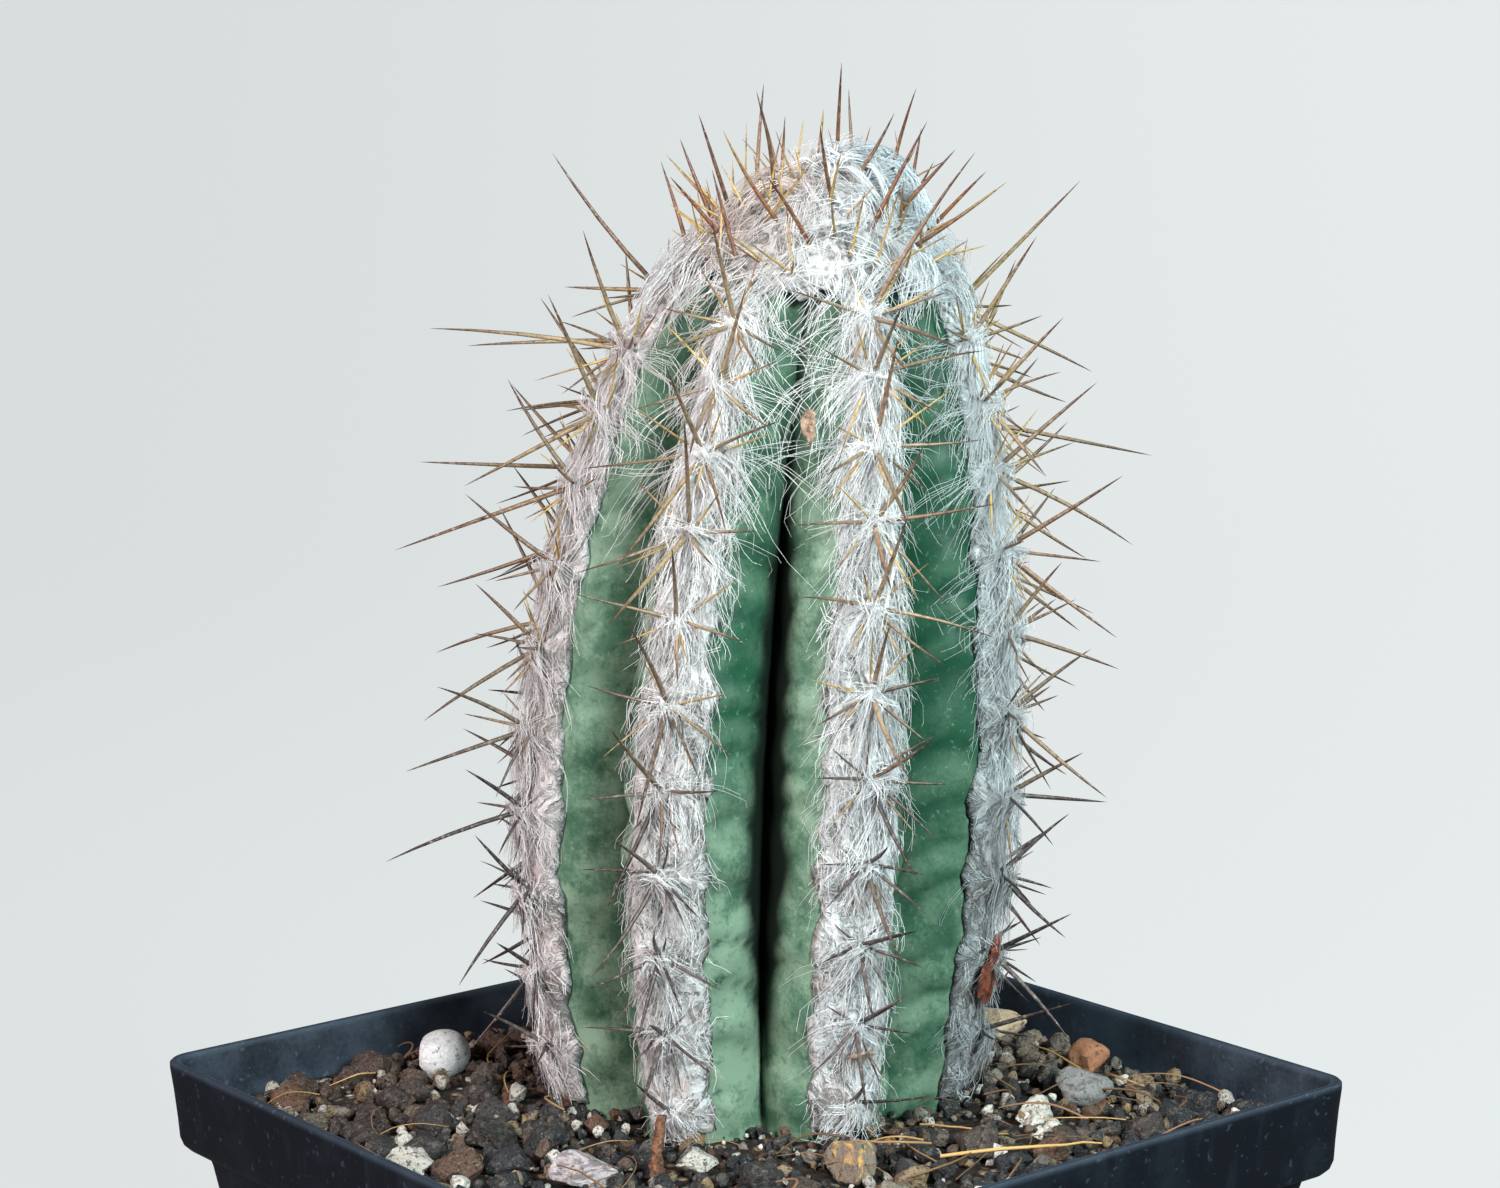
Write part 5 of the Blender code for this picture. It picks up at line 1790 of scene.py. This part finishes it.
class CACTUS_OT_spines(bpy.types.Operator):
    """Makes the spines: each areole's main ones as in the solids, thinner ones, and the crown's"""

    bl_idname = "cactus.spines"
    bl_label = "Spines"

    def execute(self, context):
        look = context.scene.cactus_spines
        horn = spine_material()
        tree = strand_tree()
        needles = Needles()
        sets = {f"wool_rib_{rib + 1}": self.rib_spines(rib, needles, look) for rib in range(RIBS)}
        sets["wool_crown"] = self.crown_spines(needles, look)
        for node, spines in sets.items():
            guides = self.guides(spines, look, node)
            name = f"spines_{node[5:]}"
            thing = grown(name, guides, tree, **STIFF, Frizz=0.0, Curl=10 * MM, Seed=3, Material=horn)
            settle(thing, "wool", node)
        return {"FINISHED"}

    def rib_spines(self, rib, needles, look):
        """(root, tip, girth, kind, age) of each spine of a rib."""
        found = []
        for number, along in enumerate(areoles(rib)):
            foot, normal, up, side = stem_frame(rib_angle(rib), along)
            root = foot + normal * SPINE_ROOT
            vigour = np.interp(along, *zip(*SPINE_VIGOUR))
            age = float(age_at(along))
            for name, turn, rise, length in RIB_SPINES:
                draw = random.Random(f"{SPINE_SEED} {rib} {number} {name}")
                for _ in range(TRIES):
                    sway = turn + draw.uniform(-SPINE_SWAY, SPINE_SWAY)
                    lift = rise + draw.uniform(*SPINE_LIFT)
                    reach = length * draw.uniform(*SPINE_STRETCH) * vigour
                    if name == long_name(rib, number):
                        sway, lift, reach = LONG_SPINES[rib, number]
                    tip = root + aim(normal, up, side, sway, lift) * reach * MM
                    if allowed(tip) and needles.fits(root, tip, (rib, number)):
                        stout = 1.0 if name in ("lower", "upper") else 0.74
                        found.append((root, tip, look.girth * stout, "main", age))
                        break
            draw = random.Random(f"thin {rib} {number}")
            root = foot + normal * (SPINE_ROOT - 0.5 * MM)
            for turn, rise, length in THIN_SPINES:
                sway, lift = turn + draw.uniform(-20, 20), rise + draw.uniform(-10, 12)
                reach = length * MM * draw.uniform(0.7, 1.2) * (0.7 + 0.3 * age)
                tip = root + aim(normal, up, side, sway, lift) * reach
                if allowed(tip) and draw.random() < 0.15 + 0.75 * age:
                    found.append((root, tip, look.girth * 0.55, "thin", age))
        return found

    def crown_spines(self, needles, look):
        found = []
        for number in range(CROWN_SPINES):
            draw = random.Random(f"{SPINE_SEED} crown {number}")
            share = math.sqrt((number + 0.5) / CROWN_SPINES)
            angle = number * math.pi * (3 - math.sqrt(5))
            along = STEM_TOP - (STEM_TOP - CROWN_START - 2.2 * MM) * share
            foot, normal, _, _ = stem_frame(angle, along, ribbed=False)
            foot = foot + normal * CROWN_SPINE_ROOT
            for _ in range(TRIES):
                spread = np.array([draw.uniform(-1, 1), draw.uniform(-1, 1), draw.uniform(0.1, 1)])
                way = unit(normal + spread * CROWN_SPREAD)
                tip = foot + way * draw.uniform(*CROWN_SPINE_LENGTH)
                if needles.fits(foot, tip, ("crown", number)):
                    found.append((foot, tip, look.girth * 0.9, "crown", 1.0))
                    break
        draw = random.Random("crown thin")
        for _ in range(THIN_CROWN_SPINES):
            angle = draw.uniform(0, math.tau)
            along = STEM_TOP - (STEM_TOP - CROWN_START) * math.sqrt(draw.random())
            foot, normal, _, _ = stem_frame(angle, along, ribbed=False)
            spread = np.array([draw.uniform(-1, 1), draw.uniform(-1, 1), draw.uniform(-0.2, 0.9)])
            tip = foot + unit(normal + spread * 0.8) * draw.uniform(5.5, 11) * MM
            found.append((foot + normal * MM, tip, look.girth * draw.uniform(0.4, 0.7), "thin", 1.0))
        return found

    def guides(self, spines, look, node):
        """Slightly bent tapering lines from root to tip, with their colours."""
        draw = np.random.default_rng(sum(map(ord, node)))
        share, taper = np.array(SPINE_TAPER).T
        found = Guides()
        for root, tip, girth, kind, age in spines:
            run = tip - root
            sag = unit(np.cross(run, draw.normal(size=3))) * np.linalg.norm(run)
            bend = share * (1 - share) * 4 * draw.uniform(0.0, 0.035)
            path = root + run * share[:, None] + sag * bend[:, None]
            found.add(path[None], self.colour(look, kind, age, share, draw), girth * taper)
        return found.mesh("spines")

    def colour(self, look, kind, age, share, draw):
        """Colours from root to tip: russet on the crown, golden where young, greyer where old."""
        golden, tan, russet, tip = map(np.array, (look.golden, look.tan, look.russet, look.tip))
        grey = np.array((0.085, 0.07, 0.066)) * draw.uniform(0.35, 1.25)
        young = np.clip((age - 0.5) * 3.5 + draw.uniform(0.1, 0.9), 0, 1)
        if kind == "crown":
            body = (russet + (tan - russet) * draw.uniform(0, 0.6)) * draw.uniform(0.45, 1.0)
            root = body * 0.6
            end = tip if draw.random() < 0.75 else golden * 0.6
        elif kind == "thin":
            redder = max(0, draw.uniform(-0.6, 0.6))
            body = (golden + (russet - golden) * redder) * draw.uniform(0.7, 1.1)
            body = blend(grey * 1.5, body, young)
            root = body * 0.8
            end = body * 0.8 if draw.random() < 0.5 else tip * 2
        else:
            mix = draw.uniform(0, 1)
            body = blend(tan, russet if mix > 0.7 else golden, mix * 0.5 * age)
            body = blend(grey, body * draw.uniform(0.65, 1.1), young)
            root = body * 0.75
            end = tip * (0.35 + 0.65 * young)
        line = blend(body, end, np.clip((share - 0.45) / 0.45, 0, 1)[:, None])
        return blend(line, root, np.clip((0.16 - share) / 0.16, 0, 1)[:, None])


class CACTUS_OT_litter(bpy.types.Operator):
    """Makes the twig, the straws and fibres on the grit, and the dry remnants in the wool"""

    bl_idname = "cactus.litter"
    bl_label = "Twig and litter"

    def execute(self, context):
        self.twig()
        self.straws()
        self.remnants()
        return {"FINISHED"}

    def twig(self):
        x, y = TWIG_PLACE
        foot = np.array((x, y, float(grit_level(x, y)) - TWIG_DEPTH))
        columns, rows = 28, 60
        share = np.linspace(0, 1, rows)
        places, girths, bends = zip(*TWIG_STATIONS)
        girth = np.interp(share, places, girths)[:, None]
        bend = np.interp(share, places, bends)[:, None] * MM
        height = share[:, None] * TWIG_LENGTH
        cos, sin = np.cos(ring_angles(columns)), np.sin(ring_angles(columns))
        knobs = stacked(cos * MM, sin * MM, height)
        rough = 1 + 0.28 * value_noise(knobs, 0.75 * MM, 91) + 0.16 * value_noise(knobs, 0.35 * MM, 92)
        radius = TWIG_RADIUS * girth * rough
        local = stacked(radius * cos + bend, radius * sin, height)
        points = foot + local @ np.array(Matrix.Rotation(TWIG_LEAN, 3, "Y")).T
        mesh = mesh_from("twig_bark", points, capped_faces(rows, columns))
        bark = dry_material("twig_bark_rough", (0.22, 0.10, 0.055), (0.035, 0.018, 0.012), 0.6)
        settle(new_object("twig_fine", mesh, bark), "twig_bark", "twig")

    def straws(self):
        """One long golden straw, and thin roots and fibres lying about on the grit."""
        gold = np.array((0.46, 0.28, 0.10))
        brown = np.array((0.20, 0.11, 0.06))
        share = np.linspace(0, 1, 9)
        guides = Guides()
        draw = np.random.default_rng(12)

        def lay(start, way, length, bow, girth, colour, lift):
            across = np.array((-way[1], way[0]))
            flat = start + way * length * share[:, None]
            flat = flat + across * (np.sin(np.pi * share) * bow)[:, None]
            level = grit_level(*flat.T) + lift + 0.8 * MM * np.sin(np.pi * share)
            path = stacked(*flat.T, level)
            guides.add(path[None], colour, girth * (1 - 0.5 * share**3), 0.25 * MM)

        straw_foot = np.array((3.0, -31.5)) * MM
        straw_way = unit(np.array((1.0, -0.42)))
        lay(straw_foot, straw_way, 19 * MM, -1.2 * MM, 0.24 * MM, gold, 1.6 * MM)
        for _ in range(80):
            for _ in range(50):
                start = draw.uniform(-44, 44, 2) * MM
                if stem_distance(*start) > 28 * MM:
                    break
            angle = draw.uniform(0, math.tau)
            way = np.array((math.cos(angle), math.sin(angle)))
            length = draw.uniform(4, 12) * MM
            end = start + way * length
            if np.abs(end).max() > 45 * MM or stem_distance(*end) < 26 * MM:
                continue
            colour = blend(brown, gold, draw.uniform(0, 1) ** 2.5) * draw.uniform(0.5, 1.2)
            thin = draw.uniform(0.05, 0.17) * MM
            lay(start, way, length, draw.uniform(-2, 2) * MM, thin, colour, draw.uniform(0.8, 2.0) * MM)
        dry = {"Frizz": 1.5, "Curl": 4 * MM, "Seed": 9, "Material": hair_material("straw_dry")}
        thing = grown("straws", guides.mesh("straws"), strand_tree(), **STIFF, **dry)
        settle(thing, "twig_bark", "twig")

    def remnants(self):
        """Dry flower remnants caught in the wool."""
        finishes = (
            dry_material("remnant_dry", (0.22, 0.06, 0.03), (0.03, 0.012, 0.01), 0.9),
            dry_material("remnant_pale", (0.40, 0.30, 0.22), (0.13, 0.08, 0.055), 0.7),
        )
        parts = ([], [])
        for number, (rib, along, place, size, finish) in enumerate(REMNANTS):
            here, normal, up, side = stem_frame(rib_angle(rib, place), along * MM)
            mesh = rock_mesh("remnant", 200 + number, 3, 4, 0.35)
            matrix = Matrix((side, up, normal)).transposed().to_4x4()
            matrix.translation = Vector(here + normal * 2.4 * MM)
            mesh.transform(matrix @ diagonal(length * MM for length in size))
            parts[finish].append((mesh, Matrix.Identity(4), 0.5))
        for number, finish in enumerate(finishes):
            mesh = joined(f"remnants_{number}", parts[number])
            settle(new_object(f"remnants_{number}", mesh, finish), "twig_bark", "twig")


class CACTUS_OT_stage(bpy.types.Operator):
    """Makes the pale floor and backdrop, the soft lights and the camera"""

    bl_idname = "cactus.stage"
    bl_label = "Stage"

    def execute(self, context):
        look = context.scene.cactus_stage
        self.floor(look)
        self.lights(context)
        self.camera(context)
        return {"FINISHED"}

    def floor(self, look):
        """A floor that curves up into a backdrop behind the pot, square to the camera."""
        bend = np.linspace(0, math.pi / 2, 16)
        sweep = zip(0.9 + 0.6 * np.sin(bend), 0.6 - 0.6 * np.cos(bend))
        profile = [(-1.5, 0), (0.4, 0), *sweep, (1.5, 2.4)]
        points = [tuple(VIEW_TURN @ Vector((x, y, z))) for y, z in profile for x in (-2.5, 2.5)]
        faces = [(i, i + 1, i + 3, i + 2) for i in range(0, len(points) - 2, 2)]
        dim = (*(part * 0.05 for part in look.floor), 1)
        bench = Finish("floor_paper", Base_Color=dim, Roughness=0.9, Emission_Strength=look.glow)
        # Painted light: the glow grows brighter and cooler towards the right of the view.
        rightward = bench.axis(0) * math.cos(CAMERA_TURN) - bench.axis(1) * math.sin(CAMERA_TURN)
        glow = bench.mixed(bench.ramped(rightward, -0.3, 0.35), look.floor, (0.95, 1.0, 1.0))
        material = bench.made(Emission_Color=glow)
        floor = new_object("floor", mesh_from("floor", points, faces), material)
        floor.visible_diffuse = False
        floor.visible_glossy = False

    def lights(self, context):
        context.scene.view_settings.view_transform = "Standard"
        world = bpy.data.worlds.new("studio")
        context.scene.world = world
        world.use_nodes = True
        background = world.node_tree.nodes["Background"]
        background.inputs["Color"].default_value = (0.93, 0.97, 1.0, 1)
        background.inputs["Strength"].default_value = 0.09
        focus = Vector((5 * MM, 0, 120 * MM))
        for name, way, distance, size, power, colour in LAMPS:
            lamp = bpy.data.lights.new(name, "AREA")
            lamp.shape = "DISK"
            lamp.size = size
            lamp.energy = power
            lamp.color = colour
            thing = bpy.data.objects.new(name, lamp)
            way = (VIEW_TURN @ Vector(way)).normalized()
            thing.location = focus + way * distance
            thing.rotation_euler = (-way).to_track_quat("-Z", "Y").to_euler()
            context.scene.collection.objects.link(thing)

    def camera(self, context):
        lens = bpy.data.cameras.new("photo_view")
        lens.lens = CAMERA_LENS
        lens.sensor_width = 36
        lens.clip_start = 0.01
        camera = bpy.data.objects.new("photo_view", lens)
        context.scene.collection.objects.link(camera)
        ahead = Vector((math.sin(CAMERA_TURN), math.cos(CAMERA_TURN), 0))
        right = Vector(VIEW_RIGHT)
        ahead = ahead * math.cos(CAMERA_PITCH) - Vector((0, 0, math.sin(CAMERA_PITCH)))
        up = right.cross(ahead)
        rolled_right = right * math.cos(CAMERA_ROLL) - up * math.sin(CAMERA_ROLL)
        rolled_up = right * math.sin(CAMERA_ROLL) + up * math.cos(CAMERA_ROLL)
        turn = Matrix((rolled_right, rolled_up, -ahead)).transposed()
        camera.matrix_world = Matrix.Translation(CAMERA_PLACE) @ turn.to_4x4()
        context.scene.camera = camera


class CACTUS_PT_panel(bpy.types.Panel):
    """Lists the pieces of the cactus"""

    bl_label = "Potted woolly cactus"
    bl_idname = "CACTUS_PT_panel"
    bl_space_type = "VIEW_3D"
    bl_region_type = "UI"
    bl_category = "Cactus"

    def draw(self, context):
        for step, settings in STEPS.items():
            box = self.layout.box()
            box.operator(f"cactus.{step}")
            group = getattr(context.scene, settings, None) if settings else None
            if group:
                for name in group.__annotations__:
                    box.prop(group, name)


STEPS = {  # operator: its settings
    "stage": "cactus_stage",
    "pot": "cactus_pot",
    "grit": "cactus_grit",
    "stones": None,
    "stem": "cactus_stem",
    "wool": "cactus_wool",
    "spines": "cactus_spines",
    "litter": None,
}
SETTINGS = {
    "cactus_pot": CactusPot,
    "cactus_grit": CactusGrit,
    "cactus_stem": CactusStem,
    "cactus_wool": CactusWool,
    "cactus_spines": CactusSpines,
    "cactus_stage": CactusStage,
}
CLASSES = (
    *SETTINGS.values(),
    CACTUS_OT_stage,
    CACTUS_OT_pot,
    CACTUS_OT_grit,
    CACTUS_OT_stones,
    CACTUS_OT_stem,
    CACTUS_OT_wool,
    CACTUS_OT_spines,
    CACTUS_OT_litter,
    CACTUS_PT_panel,
)


def register():
    for item in CLASSES:
        bpy.utils.register_class(item)
    for name, group in SETTINGS.items():
        setattr(bpy.types.Scene, name, PointerProperty(type=group))


def unregister():
    for name in SETTINGS:
        delattr(bpy.types.Scene, name)
    for item in reversed(CLASSES):
        bpy.utils.unregister_class(item)


def main():
    register()
    for step in STEPS:
        getattr(bpy.ops.cactus, step)()


if __name__ == "__main__":
    main()
